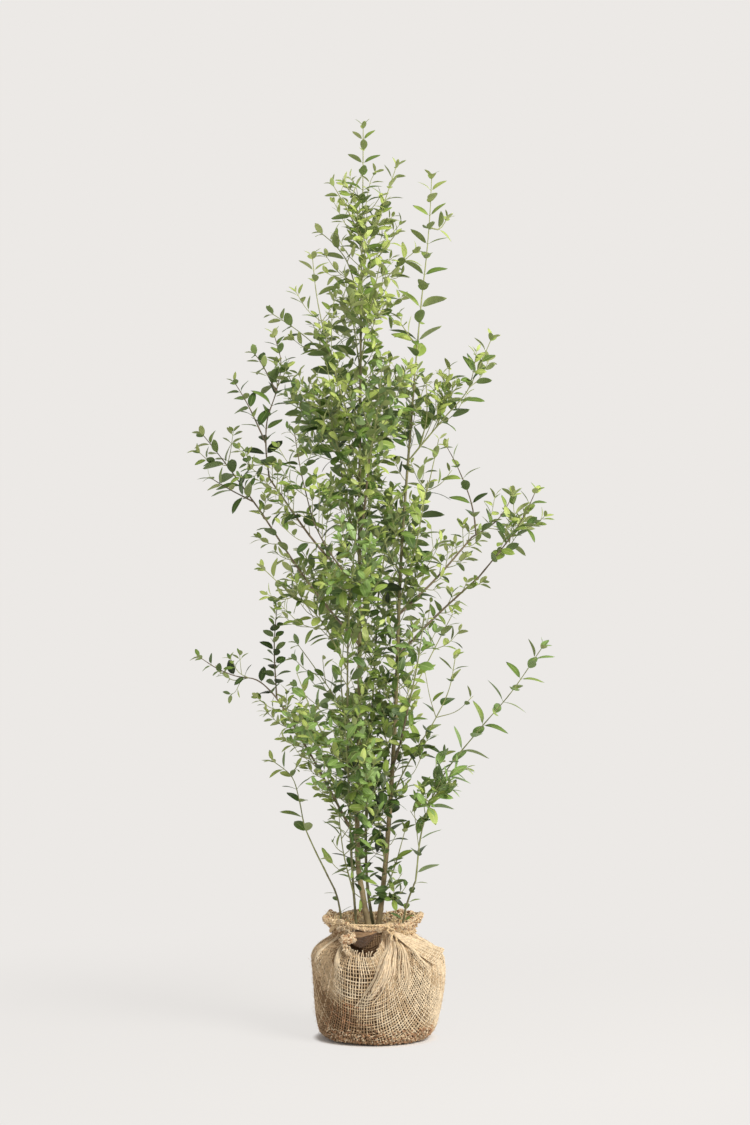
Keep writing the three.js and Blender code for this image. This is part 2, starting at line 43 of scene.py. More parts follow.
metres = 0.001  # from the millimetres below
up = np.array([0.0, 0.0, 1.0])
fullTurn = 6.28  # near enough for a phase or a place drawn at random
seeds = dict(bark=500, twigs=0, leaves=900, dressing=1500, dressingLeaves=1700, weave=77,
             crumbs=31, trim=41)


# Small tools

def seededRandom(seed):
    state = (seed + 7) * 2654435761 % 2**32

    def draw():
        nonlocal state
        state = (state * 1664525 + 1013904223) % 2**32
        return state / 2**32
    return draw


def between(pair, draw):
    # the least, and what is added to it at random
    return pair[0] + pair[1] * draw()


def offCentre(draw):
    return np.array([draw() - 0.5, draw() - 0.5, draw() - 0.5])


def pick(options, draw):
    return options[int(draw() * len(options))]


def unit(v):
    v = np.asarray(v, float)
    return v / np.maximum(np.linalg.norm(v, axis=-1, keepdims=True), 1e-9)


def smoothstep(x, low, high):
    t = np.clip((x - low) / (high - low), 0, 1)
    return t * t * (3 - 2 * t)


def leaning(axis, side, degrees):
    a = math.radians(degrees)
    return unit(axis * math.cos(a) + side * math.sin(a))


def turned(v, axis, angle):
    # v turned about a unit axis
    c, s = math.cos(angle), math.sin(angle)
    return v * c + np.cross(axis, v) * s + axis * np.dot(axis, v) * (1 - c)


def linear(colour):
    c = np.asarray(colour, float) / 255
    return np.where(c <= 0.04045, c / 12.92, ((c + 0.055) / 1.055) ** 2.4)


class Curve:
    # a smooth line through points, read by share of its length
    def __init__(self, points):
        p = np.asarray(points, float)
        self.knots = np.vstack([2 * p[0] - p[1], p, 2 * p[-1] - p[-2]])
        self.steps = np.linspace(0, 1, 201)
        places = self.spline(self.steps)
        gaps = np.linalg.norm(np.diff(places, axis=0), axis=1)
        self.lengths = np.concatenate([[0], np.cumsum(gaps)])
        self.length = self.lengths[-1]

    def spline(self, t):
        t = np.atleast_1d(t) * (len(self.knots) - 3)
        i = np.minimum(t.astype(int), len(self.knots) - 4)
        w = (t - i)[:, None]
        a, b, c, d = (self.knots[i + k] for k in range(4))
        lean, leanOn = (c - a) / 2, (d - b) / 2
        return b + lean * w + (3 * (c - b) - 2 * lean - leanOn) * w**2 \
            + (2 * (b - c) + lean + leanOn) * w**3

    def at(self, share):
        t = np.interp(np.asarray(share) * self.length, self.lengths, self.steps)
        places = self.spline(t)
        return places if np.ndim(share) else places[0]


class Bundle:
    # gathers many small shapes into one joined piece
    def __init__(self):
        self.points, self.corners, self.sizes, self.looks = [], [], [], []
        self.count = 0

    def add(self, points, faces, look=0):
        faces = np.asarray(faces)
        self.points.append(np.asarray(points, float))
        self.addFaces(faces, look)
        self.count += len(points)

    def addFaces(self, faces, look):
        # faces among the next points to be added, numbered from 0
        self.corners.append((faces + self.count).ravel())
        self.sizes.append(np.full(len(faces), faces.shape[1]))
        self.looks.append(np.full(len(faces), look))

    def close(self, sides, tip, look=0):
        # a point that closes the last ring added
        side = np.arange(sides)
        last = self.count - sides
        fan = np.stack([last + (side + 1) % sides, last + side, np.full(sides, self.count)], 1)
        self.add([tip], fan - self.count, look)

    def make(self, name, materials, slot, nodes):
        sizes = np.concatenate(self.sizes)
        mesh = bpy.data.meshes.new(name)
        mesh.vertices.add(self.count)
        mesh.vertices.foreach_set("co", (np.concatenate(self.points) * metres).ravel())
        mesh.loops.add(int(sizes.sum()))
        mesh.loops.foreach_set("vertex_index", np.concatenate(self.corners).astype(np.int32))
        mesh.polygons.add(len(sizes))
        starts = np.concatenate([[0], np.cumsum(sizes)[:-1]])
        mesh.polygons.foreach_set("loop_start", starts.astype(np.int32))
        mesh.polygons.foreach_set("material_index", np.concatenate(self.looks).astype(np.int32))
        mesh.polygons.foreach_set("use_smooth", np.full(len(sizes), True))
        mesh.update(calc_edges=True)
        mesh.validate()
        for material in materials:
            mesh.materials.append(material)
        piece = bpy.data.objects.new(name, mesh)
        bpy.context.scene.collection.objects.link(piece)
        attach(piece, "root")
        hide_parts(*nodes)
        print(name, int((sizes - 2).sum()), "triangles")


def ringFaces(rings, sides):
    # quads between rings of points, numbered ring by ring
    ring = np.arange(rings - 1)[:, None] * sides
    side = np.arange(sides)[None, :]
    nextSide = (side + 1) % sides
    quads = np.stack([ring + side, ring + sides + side, ring + sides + nextSide, ring + nextSide],
                     axis=-1)
    return quads.reshape(-1, 4)


def gridFaces(rows, columns, keep=None):
    row = np.arange(rows - 1)[:, None]
    column = np.arange(columns - 1)[None, :]
    a = row * columns + column
    quads = np.stack([a, a + 1, a + columns + 1, a + columns], axis=-1)
    return quads.reshape(-1, 4) if keep is None else quads[keep]


def framesAlong(places):
    # tangent, normal and side at each place, carried along with no twist
    tangents = unit(np.gradient(places, axis=0))
    normal = np.cross(tangents[0], [0.3, -1, 0.1])
    normals = []
    for tangent in tangents:
        normal = unit(normal - tangent * np.dot(normal, tangent))
        normals.append(normal)
    normals = np.array(normals)
    return tangents, normals, np.cross(tangents, normals)


def ringsAlong(places, normals, across, radii, sides):
    angles = np.arange(sides) * 2 * math.pi / sides
    ring = across[:, None, :] * np.cos(angles)[None, :, None] \
        + normals[:, None, :] * np.sin(angles)[None, :, None]
    return (places[:, None, :] + ring * radii[..., None]).reshape(-1, 3)


def addTube(bundle, places, radii, sides, look=0, normals=None, tip=False):
    places = np.asarray(places, float)
    if normals is None:
        _, normals, across = framesAlong(places)
    else:
        across = unit(np.cross(unit(np.gradient(places, axis=0)), normals))
    radii = np.broadcast_to(radii, len(places))[:, None]
    bundle.add(ringsAlong(places, normals, across, radii, sides), ringFaces(len(places), sides), look)
    if tip:
        bundle.close(sides, places[-1] + (places[-1] - places[-2]) * 0.2, look)


# Finishes

finishRule = dict(driftDetail=4, driftFrom=0.32, driftTo=0.68, grainDetail=3, sheenRoughness=0.6)


def makeFinish(name, colour, roughness, vary=0.12, patch=40, bump=0.25, grain=600, depth=0.3,
               sheen=0.0, specular=0.4):
    # colour drifts in patches this many to the metre, and a fine grain roughens the surface
    material = bpy.data.materials.new(name)
    material.use_nodes = True
    nodes, links = material.node_tree.nodes, material.node_tree.links
    shader = nodes["Principled BSDF"]
    shader.inputs["Roughness"].default_value = roughness
    shader.inputs["Specular IOR Level"].default_value = specular
    if sheen:
        shader.inputs["Sheen Weight"].default_value = sheen
        shader.inputs["Sheen Roughness"].default_value = finishRule["sheenRoughness"]
    place = nodes.new("ShaderNodeTexCoord")
    drift = nodes.new("ShaderNodeTexNoise")
    drift.inputs["Scale"].default_value = patch
    drift.inputs["Detail"].default_value = finishRule["driftDetail"]
    ramp = nodes.new("ShaderNodeValToRGB")
    base = linear(colour)
    for stop, share, at in ((0, 1 - vary, "driftFrom"), (1, 1 + vary, "driftTo")):
        ramp.color_ramp.elements[stop].position = finishRule[at]
        ramp.color_ramp.elements[stop].color = (*np.clip(base * share, 0, 1), 1)
    fine = nodes.new("ShaderNodeTexNoise")
    fine.inputs["Scale"].default_value = grain
    fine.inputs["Detail"].default_value = finishRule["grainDetail"]
    relief = nodes.new("ShaderNodeBump")
    relief.inputs["Strength"].default_value = bump
    relief.inputs["Distance"].default_value = depth * metres
    links.new(place.outputs["Object"], drift.inputs["Vector"])
    links.new(place.outputs["Object"], fine.inputs["Vector"])
    links.new(drift.outputs["Fac"], ramp.inputs["Fac"])
    links.new(ramp.outputs["Color"], shader.inputs["Base Color"])
    links.new(fine.outputs["Fac"], relief.inputs["Height"])
    links.new(relief.outputs["Normal"], shader.inputs["Normal"])
    return material


def addRange(nodes, fromLow, fromHigh, low, high, smooth=True):
    # a node that turns one range into another
    span = nodes.new("ShaderNodeMapRange")
    span.interpolation_type = "SMOOTHSTEP" if smooth else "LINEAR"
    for socket, value in (("From Min", fromLow), ("From Max", fromHigh), ("To Min", low),
                          ("To Max", high)):
        span.inputs[socket].default_value = value
    return span


# Stems and boughs, as they stand in the model

stems = {
    "stem_leader": dict(base=5.6, tip=1.9, path=[
        (-9, -3, 185), (-23, -4, 257), (-35, -6, 360), (-31, -6, 632), (-31, 0, 950),
        (-28, 3, 1395)]),
    "stem_right": dict(base=5.2, tip=1.9, path=[
        (1, 13, 185), (11, 12, 257), (22, 11, 375), (36, 10, 594), (47, 0, 895), (72, -9, 1235)]),
    "stem_back": dict(base=3.0, tip=1.6, path=[
        (-2, 28, 185), (-17, 34, 290), (-18, 46, 430), (-4, 72, 670), (6, 88, 850)]),
    "stem_front": dict(base=2.4, tip=1.4, path=[
        (-34, -22, 185), (-43, -30, 295), (-49, -42, 430), (-53, -62, 650), (-49, -86, 860)]),
    "stem_thin_left": dict(base=1.9, tip=1.5, path=[
        (-60, -12, 185), (-72, -15, 262), (-94, -19, 312)]),
    "stem_thin_right": dict(base=1.9, tip=1.5, path=[
        (45, -10, 185), (57, -10, 248), (74, -15, 295)]),
}

# each bough leaves its stem at a height, and bends by bow, a share of its length
boughs = {
    "bough_left_low": dict(on="stem_front", height=395, tip=(-172, -36, 618), bow=0.02),
    "bough_left_mid": dict(on="stem_leader", height=735, tip=(-221, 50, 990), bow=-0.04),
    "bough_left_dark": dict(on="stem_leader", height=838, tip=(-198, -56, 1046), bow=-0.05),
    "bough_right_mid": dict(on="stem_right", height=792, tip=(182, 56, 938), bow=-0.03),
    "bough_right_long": dict(on="stem_right", height=715, tip=(190, -48, 862), bow=0.02),
    "bough_front_low": dict(on="stem_right", height=505, tip=(62, -118, 640), bow=-0.06),
    "bough_front_mid": dict(on="stem_leader", height=925, tip=(-12, -128, 1082), bow=-0.06),
    "bough_back_low": dict(on="stem_back", height=440, tip=(-62, 158, 600), bow=-0.06),
    "bough_back_mid": dict(on="stem_leader", height=900, tip=(-66, 132, 1062), bow=-0.06),
}

limbRule = dict(boughBase=2.5, boughTip=1.6, rootFlare=0.4, flareHeight=26, soil=196, sunk=6)

# relief of the bark: rings of faces every step, long low ripples, raised dots, and a swelling at
# each old leaf scar; a limb over thickFrom at its base has more sides
barkRule = dict(step=2.6, thickFrom=4, sides=(16, 10), dots=0.05, dotHeight=0.35, ripples=4,
                ripple=0.035, rippleLength=9, rippleGrowth=14, scarEvery=36, scar=0.1, scarHeight=3.0,
                dotSize=(0.5, 0.5), dotNext=0.6)


def limbRadius(limb, share):
    flare = 1 + limb["flare"] * np.exp(-share * limb["curve"].length / limbRule["flareHeight"])
    return limb["base"] * flare + (limb["tip"] - limb["base"]) * np.asarray(share) ** 0.85


def shareAtHeight(limb, height):
    shares = np.linspace(0, 1, 400)
    return float(np.interp(height, limb["curve"].at(shares)[:, 2], shares))


limbs = {}
for name, stem in stems.items():
    limbs[name] = dict(curve=Curve(stem["path"]), base=stem["base"], tip=stem["tip"],
                       flare=limbRule["rootFlare"])
for name, bough in boughs.items():
    parent = limbs[bough["on"]]
    start = parent["curve"].at(shareAtHeight(parent, bough["height"]))
    end = np.array(bough["tip"], float)
    middle = (start + end) / 2 + up * bough["bow"] * np.linalg.norm(end - start)
    limbs[name] = dict(curve=Curve([start, middle, end]), base=limbRule["boughBase"],
                       tip=limbRule["boughTip"], flare=0)


def barkRelief(along, radii, sides, draw):
    rule = barkRule
    rings = len(along)
    relief = np.zeros((rings, sides))
    side = np.arange(sides) * 2 * math.pi / sides
    for k in range(rule["ripples"]):
        phase, turn = draw() * fullTurn, draw() * fullTurn
        wave = rule["rippleLength"] + rule["rippleGrowth"] * k
        relief += np.sin(along[:, None] / wave + phase + (k + 1) * side[None, :] + turn) \
            / rule["ripples"]
    relief *= rule["ripple"] * radii[:, None]
    fromScar = along % rule["scarEvery"] - rule["scarEvery"] / 2
    scars = np.exp(-(fromScar / rule["scarHeight"]) ** 2)
    relief += (scars * rule["scar"] * radii)[:, None]
    return relief


def makeBark(name, limb, material, seed):
    draw = seededRandom(seed)
    length = limb["curve"].length
    shares = np.linspace(0, 1, int(length / barkRule["step"]))
    places = limb["curve"].at(shares)
    keep = places[:, 2] > limbRule["soil"] - limbRule["sunk"]
    shares, places = shares[keep], places[keep]
    rings = len(places)
    sides = barkRule["sides"][0 if limb["base"] > barkRule["thickFrom"] else 1]
    radii = limbRadius(limb, shares)
    relief = barkRelief(shares * length, radii, sides, draw)
    for i in range(int(rings * sides * barkRule["dots"])):
        ring, side = int(draw() * (rings - 1)), int(draw() * sides)
        height = barkRule["dotHeight"] * between(barkRule["dotSize"], draw)
        relief[ring, side] += height
        relief[ring + 1, side] += height * barkRule["dotNext"]
    _, normals, across = framesAlong(places)
    bundle = Bundle()
    bundle.add(ringsAlong(places, normals, across, radii[:, None] + relief, sides),
               ringFaces(rings, sides))
    bundle.close(sides, places[-1])
    bundle.make(name + "_bark", [material], "bark", [name])


barkFinish = dict(
    old=makeFinish("old_bark", (126, 112, 90), 0.8, vary=0.28, patch=90, bump=0.6, grain=900),
    green=makeFinish("green_bark", (116, 114, 80), 0.7, vary=0.22, patch=80, bump=0.4, grain=900),
)
stemBark = dict(foot=(150, 134, 100), head=(118, 114, 80), turnsFrom=400, turnsTo=900)


def makeStemBark(rule):
    # tan-brown at the foot of a stem, turning olive where it is younger
    material = makeFinish("stem_bark", rule["foot"], 0.8, vary=0.22, patch=90, bump=0.6, grain=900)
    nodes, links = material.node_tree.nodes, material.node_tree.links
    shader = nodes["Principled BSDF"]
    drift = next(n for n in nodes if n.type == "VALTORGB")
    place = next(n for n in nodes if n.type == "TEX_COORD")
    split = nodes.new("ShaderNodeSeparateXYZ")
    span = addRange(nodes, rule["turnsFrom"] * metres, rule["turnsTo"] * metres, 0, 1, smooth=False)
    blend = nodes.new("ShaderNodeMix")
    blend.data_type = "RGBA"
    blend.blend_type = "MULTIPLY"
    blend.inputs[7].default_value = (*linear(rule["head"]) / linear(rule["foot"]), 1)
    links.new(place.outputs["Object"], split.inputs["Vector"])
    links.new(split.outputs["Z"], span.inputs["Value"])
    links.new(span.outputs["Result"], blend.inputs[0])
    links.new(drift.outputs["Color"], blend.inputs[6])
    links.new(blend.outputs[2], shader.inputs["Base Color"])
    return material


barkFinish["main"] = makeStemBark(stemBark)
for number, (name, limb) in enumerate(limbs.items()):
    main = limb["base"] > barkRule["thickFrom"]
    kind = "old" if name in boughs else "main" if main else "green"
    makeBark(name, limb, barkFinish[kind], seeds["bark"] + number)
print("stems and boughs made")


# The crown. Each mass grows along its own shoot, from a height on a stem or from a limb's tip;
# the last point of path is its furthest leaf, and a fork leaves the shoot at a share of its length.

masses = [
    dict(name="top_middle", on="stem_leader", twigs=3,
         path=[(-25, 0, 1560), (-24, 0, 1722)],
         forks=[(0.31, [(-52, -24, 1546), (-88, -38, 1606)]),
                (0.2, [(4, 22, 1535), (43, 35, 1652)]),
                (0.09, [(12, -28, 1470), (46, -54, 1512)])]),
    dict(name="top_right", on="stem_right", twigs=2,
         path=[(84, -11, 1370), (98, -12, 1500), (105, -10, 1626)],
         forks=[(0.75, [(120, 0, 1516), (140, 4, 1548)]),
                (0.16, [(62, -36, 1312), (40, -60, 1342)])]),
    dict(name="top_left", on="stem_leader", height=1366, twigs=2,
         path=[(-58, 30, 1464), (-114, 50, 1524)]),
    dict(name="top_back", on="stem_leader", height=1326, twigs=3,
         path=[(18, 44, 1425), (84, 62, 1490)]),
    dict(name="high_front", on="stem_leader", height=1262, twigs=4,
         path=[(-12, -62, 1352), (10, -104, 1450)]),
    dict(name="high_back", on="stem_leader", height=1246, twigs=4,
         path=[(-44, 74, 1350), (-62, 118, 1452)]),
    dict(name="left_shoot", on="stem_leader", height=1105, twigs=4,
         path=[(-62, -28, 1195), (-104, -50, 1350), (-120, -52, 1472)]),
    dict(name="left_high", on="stem_leader", height=1150, twigs=3,
         path=[(-80, 50, 1262), (-152, 82, 1334), (-212, 94, 1374)]),
    dict(name="left_upper", on="stem_leader", height=1040, twigs=4,
         path=[(-96, 20, 1132), (-140, 24, 1190), (-176, 30, 1268)]),
    dict(name="left_dark", on="bough_left_dark", twigs=3,
         path=[(-204, -62, 1140), (-176, -62, 1245), (-192, -52, 1326)],
         forks=[(0.24, [(-236, -84, 1180), (-268, -92, 1234)]),
                (0.6, [(-214, -38, 1262), (-236, -26, 1290)])]),
    dict(name="left_mid", on="bough_left_mid", twigs=3,
         path=[(-286, 72, 1078), (-340, 86, 1146)],
         forks=[(0.1, [(-280, 34, 1030), (-322, 14, 1056)])]),
    dict(name="left_inner", on="stem_front", twigs=4,
         path=[(-104, -100, 940), (-134, -112, 1040), (-152, -112, 1144)]),
    dict(name="left_arch", on="stem_front", height=690, twigs=3,
         path=[(-104, -98, 788), (-162, -118, 838), (-216, -132, 888)]),
    dict(name="left_low", on="bough_left_low", twigs=2,
         path=[(-214, -46, 668), (-276, -58, 684), (-338, -68, 722)],
         forks=[(0.12, [(-190, -24, 735), (-184, -12, 820)])]),
    dict(name="left_bush", on="stem_front", height=500, twigs=6,
         path=[(-106, -100, 590), (-150, -118, 700)]),
    dict(name="left_back_low", on="stem_back", height=520, twigs=4,
         path=[(-84, 100, 640), (-160, 142, 745)]),
    dict(name="left_back_mid", on="stem_back", height=700, twigs=4,
         path=[(-76, 126, 810), (-152, 178, 925)]),
    dict(name="left_foot", on="stem_thin_left", twigs=1,
         path=[(-132, -28, 395), (-154, -36, 486), (-202, -52, 530)],
         forks=[(0.82, [(-140, -62, 520)])]),
    dict(name="front_foot", on="stem_front", height=272, twigs=1,
         path=[(-60, -62, 350), (-70, -92, 440)]),
    dict(name="front_low", on="stem_front", height=350, twigs=5,
         path=[(-52, -110, 500), (-58, -196, 640)]),
    dict(name="front_low_right", on="bough_front_low", twigs=4,
         path=[(74, -164, 700), (88, -226, 802)]),
    dict(name="front_mid", on="stem_front", height=770, twigs=5,
         path=[(-44, -150, 860), (-32, -240, 978)]),
    dict(name="front_mid_right", on="stem_right", height=815, twigs=5,
         path=[(72, -72, 915), (96, -164, 1050)]),
    dict(name="front_upper", on="bough_front_mid", twigs=4,
         path=[(0, -160, 1150), (12, -190, 1255)]),
    dict(name="front_upper_left", on="stem_leader", height=1010, twigs=4,
         path=[(-66, -62, 1090), (-98, -126, 1210)]),
    dict(name="back_foot", on="stem_back", height=290, twigs=1,
         path=[(-20, 84, 370), (-6, 116, 470)]),
    dict(name="back_low", on="bough_back_low", twigs=3,
         path=[(-68, 198, 665), (-60, 236, 765)]),
    dict(name="back_low_right", on="stem_back", height=470, twigs=5,
         path=[(44, 118, 590), (88, 180, 720)]),
    dict(name="back_mid", on="stem_back", twigs=5,
         path=[(22, 138, 935), (34, 206, 1045)]),
    dict(name="back_mid_right", on="stem_right", height=905, twigs=4,
         path=[(92, 76, 1010), (124, 156, 1140)]),
    dict(name="back_upper", on="bough_back_mid", twigs=3,
         path=[(-72, 168, 1140), (-76, 190, 1258)]),
    dict(name="back_upper_right", on="stem_leader", height=1072, twigs=4,
         path=[(4, 70, 1160), (30, 138, 1290)]),
    dict(name="right_upper", on="stem_right", height=1080, twigs=4,
         path=[(122, -24, 1154), (170, -40, 1210), (220, -56, 1318)],
         forks=[(0.3, [(134, -2, 1205), (138, 12, 1270)]),
                (0.12, [(94, -52, 1160), (92, -66, 1240)])]),
    dict(name="right_mid", on="bough_right_mid", twigs=2,
         path=[(232, 68, 972), (266, 78, 1028)],
         forks=[(0.08, [(182, 62, 1000), (156, 54, 1068), (127, 44, 1122)])]),
    dict(name="right_long", on="bough_right_long", twigs=3,
         path=[(238, -64, 922), (270, -76, 970), (300, -90, 1034)]),
    dict(name="right_fork", on="stem_right", height=600, twigs=4,
         path=[(70, 34, 650), (128, 78, 758), (152, 94, 802)]),
    dict(name="right_low", on="stem_right", height=440, twigs=4,
         path=[(60, -22, 515), (128, -54, 634), (150, -66, 730)]),
    dict(name="right_low_long", on="stem_thin_right", twigs=3,
         path=[(97, -26, 441), (147, -36, 520), (206, -52, 598), (254, -60, 654), (316, -72, 746)]),
    dict(name="right_foot", on="stem_right", height=262, twigs=1,
         path=[(34, -12, 318), (58, -30, 405)]),
    dict(name="middle_foot", on="stem_right", height=322, twigs=1,
         path=[(6, -34, 400), (-4, -66, 490)]),
]

# three values are at a shoot's tip, far from it, and the distance over which one becomes the
# other; three in brackets for level are on a main shoot, on its twigs and on finer ones
shootRule = dict(
    bare=14, twigBare=7, firstPair=7.0,                       # no leaves this near foot and tip
    gap=(19, 32, 95), leaf=(22, 45, 60), angle=(34, 55, 40),  # of leaf pairs, degrees off the shoot
    lastLeaf=17, lastAngle=33, lastReach=14,                  # the pair that ends it
    sizes=(1, 0.87, 0.8), gaps=(1, 0.82, 0.72), widths=(1, 0.9, 0.88),
    rolls=(1.3, 1.8, 1.9),                                    # turn about a leaf's own midrib
    reach=84, margin=1.5, limbRoom=1.4, leafRoom=5.7, endRoom=4.5, tipRoom=9, twigRoom=14,
    leafLine=26, cell=12, step=8, nearTip=20, crossed=0.25,
)
massDrift = dict(turn=1.1, age=0.8)  # how far masses may differ
twigRule = dict(share=0.5, added=12, vary=(0.75, 0.5), shortest=40, longest=125, angle=45,
                swing=14, lift=0.22, bare=12, closer=0.8, spread=0.618, room=60,
                finePerTwig=0.65, fineLength=(32, 60), fineBare=10, fineFrom=28)
bushy = dict(  # side twigs for each twig of the model's own mass, where it isn't 2
    left_bush=4.5, front_low=3.4, front_mid=3.4, front_upper=4.5, high_front=3.6, high_back=2,
    left_upper=3.6, left_shoot=0.8, left_inner=3, front_upper_left=4.5, front_mid_right=0.3,
    top_middle=5, top_back=3, top_left=2, top_right=0, left_high=1, back_low=3, back_mid=3,
    back_upper=3, back_low_right=1, back_mid_right=0.3, left_back_low=1.4, left_back_mid=3.2,
    left_mid=0.8, back_upper_right=4, front_low_right=0.5, right_fork=0.6, right_low=0.6,
    right_low_long=0, left_dark=0.4, left_low=1, right_mid=0.6, left_foot=0, left_arch=2.6,
    right_foot=3, middle_foot=3, right_upper=1.4,
)
sparse = dict(  # the share of a mass's leaves that it keeps, where it isn't all
    back_mid_right=0.6, front_mid_right=0.65, back_low_right=0.65, right_fork=0.7, right_upper=0.9,
    right_low=0.7, left_back_low=0.75, left_arch=0.85, front_low_right=0.7, left_high=0.85,
)
clean = dict(  # the share of a mass's own shoots, from their tips, that bears no side twigs
    left_low=0.45, right_upper=0.3, left_mid=0.4, right_long=0.15, right_mid=0.4, top_middle=0.68,
    left_shoot=0.3, left_high=0.4, left_upper=0.2, right_low=0.35, right_fork=0.3, left_bush=0.5,
    front_low_right=0.4, left_dark=0.3, front_low=0.2, top_back=0.2,
)
stubby = dict(top_middle=0.7, top_back=0.7)  # length of side twigs, against the rule
habit = dict(  # gaps, lengths and widths of the leaves of a mass or limb, against the rule
    left_low=(1, 0.74, 1.1), left_low_fork=(0.46, 0.6, 1.3), left_dark=(0.76, 0.85, 1.15),
    left_foot=(1, 0.9, 0.85), top_middle=(0.95, 0.84, 0.94), left_inner=(0.85, 0.9, 1.05),
    bough_left_low=(0.8, 0.8, 1.15), bough_left_dark=(0.8, 0.85, 1.1), right_mid=(0.95, 0.9, 1.05),
    right_low_long=(1, 1, 0.94), middle_foot=(0.9, 1.1, 1), right_foot=(0.9, 1.1, 1),
    front_foot=(0.9, 1.1, 1),
)
rolled = dict(left_low_fork=2.2)  # the dark shoot shows its leaves' flat sides

# sprays listed one by one: the size of their leaves, and twigs that leave the mass's shoot at a share
sprays = dict(
    right_low_long=(1.3, [
        (0.24, [(84, -48, 468), (72, -62, 506)]), (0.27, [(114, -52, 462), (134, -66, 484)]),
        (0.3, [(116, 0, 498), (126, 16, 530)]), (0.2, [(70, -42, 418), (56, -54, 444)]),
        (0.33, [(142, -56, 500), (166, -64, 508)]), (0.28, [(92, -66, 440), (96, -92, 448)]),
        (0.33, [(112, -20, 520), (104, -30, 548)]), (0.12, [(68, -52, 452), (64, -66, 500)])]),
    right_low=(1.15, [
        (0.12, [(68, -34, 496), (84, -44, 528)]), (0.2, [(50, -34, 516), (44, -50, 548)]),
        (0.3, [(84, -24, 540), (98, -18, 562)])]),
    right_foot=(0.85, [
        (0.03, [(40, -28, 262), (50, -42, 276)]), (0.05, [(44, 4, 268), (58, 12, 284)]),
        (0.12, [(34, -34, 290), (48, -50, 312)]), (0.08, [(32, 24, 284), (48, 34, 304)]),
        (0.4, [(52, 6, 340), (66, 16, 366)]), (0.5, [(30, -44, 372), (24, -62, 392)]),
        (0.02, [(30, -28, 262), (34, -42, 280)]), (0.3, [(22, -26, 318), (12, -42, 334)])]),
    middle_foot=(1.2, [
        (0.3, [(26, -52, 366), (38, -72, 388)]), (0.5, [(-16, -60, 410), (-26, -80, 432)]),
        (0.6, [(20, -66, 446), (32, -84, 468)]), (0.12, [(-4, -34, 350), (-14, -50, 368)]),
        (0.8, [(12, -84, 470), (18, -98, 502)]), (0.2, [(14, -52, 352), (20, -70, 362)]),
        (0.9, [(-22, -78, 476), (-36, -92, 500)])]),
    front_foot=(0.9, [
        (0.5, [(-36, -84, 372), (-22, -100, 390)]), (0.15, [(-30, -50, 300), (-22, -66, 316)]),
        (0.02, [(-14, -34, 256), (-8, -46, 268)]), (0.3, [(-42, -60, 326), (-32, -78, 346)]),
        (0.7, [(-52, -92, 398), (-40, -108, 416)])]),
    front_upper_left=(1, [
        (0.55, [(-112, -92, 1200), (-128, -98, 1245)]), (0.7, [(-84, -96, 1216), (-92, -100, 1258)]),
        (0.4, [(-110, -70, 1160), (-132, -72, 1195)])]),
    left_upper=(1, [
        (0.5, [(-118, 52, 1190), (-112, 62, 1235)]), (0.35, [(-88, -4, 1160), (-84, -10, 1210)]),
        (0.45, [(-106, 6, 1192), (-96, 2, 1240)]), (0.62, [(-126, 4, 1208), (-118, -2, 1256)])]),
    left_shoot=(1, [
        (0.3, [(-92, -58, 1208), (-112, -70, 1236)]), (0.38, [(-74, -58, 1232), (-70, -72, 1262)])]),
    top_middle=(1, [
        (0.3, [(-40, -14, 1568), (-56, -20, 1594)]), (0.36, [(-36, 14, 1590), (-48, 20, 1614)]),
        (0.4, [(-12, -12, 1596), (-2, -20, 1618)])]),
    front_upper=(1, [
        (0.5, [(32, -166, 1180), (48, -176, 1226)]), (0.35, [(-30, -150, 1150), (-46, -160, 1190)]),
        (0.7, [(38, -196, 1210), (56, -206, 1240)])]),
    right_upper=(1, [
        (0.25, [(128, -60, 1190), (122, -84, 1236)]), (0.15, [(110, -44, 1170), (108, -50, 1215)])]),
    left_bush=(1, [
        (0.2, [(-128, -104, 530), (-154, -108, 556)]),
        (0.3, [(-112, -132, 560), (-126, -150, 590)]), (0.35, [(-128, -116, 590), (-160, -124, 606)]),
        (0.55, [(-100, -150, 604), (-92, -168, 630)])]),
    left_dark=(0.9, [
        (0.02, [(-228, -70, 1062), (-240, -78, 1092)]), (0.1, [(-236, -50, 1072), (-254, -44, 1100)])]),
    front_mid_right=(1, [
        (0.15, [(92, -60, 880), (114, -68, 918)]), (0.3, [(98, -76, 905), (124, -84, 930)])]),
    left_inner=(1, [
        (0.3, [(-98, -112, 985), (-94, -124, 1024)]), (0.45, [(-116, -132, 1010), (-112, -150, 1046)])]),
)

# limbs carry leaves and short shoots themselves: from and to a share of their length, the
# chance that a leaf's axil has shot, the share of leaves still there, and the shoots' lengths
dressing = dict(
    stem_leader=(0.07, 0.99, 0.95, 1, (38, 105)), stem_right=(0.04, 0.98, 0.7, 1, (38, 95)),
    stem_back=(0.12, 0.98, 0.75, 1, (38, 105)), stem_front=(0.14, 0.98, 0.9, 1, (38, 105)),
    stem_thin_left=(0.1, 1, 0, 0.4, (20, 30)), stem_thin_right=(0.1, 1, 0, 0.6, (20, 30)),
    bough_left_low=(0.1, 1, 0.95, 1, (28, 78)), bough_left_mid=(0.3, 1, 0.75, 0.75, (24, 74)),
    bough_left_dark=(0.15, 1, 0.7, 1, (28, 70)), bough_right_mid=(0.05, 1, 0.95, 1, (24, 64)),
    bough_right_long=(0.05, 1, 0.6, 1, (24, 60)), bough_front_low=(0.3, 1, 0.6, 1, (30, 80)),
    bough_front_mid=(0.3, 1, 0.7, 1, (30, 80)), bough_back_low=(0.3, 1, 0.7, 1, (30, 80)),
    bough_back_mid=(0.3, 1, 0.7, 1, (30, 80)),
)
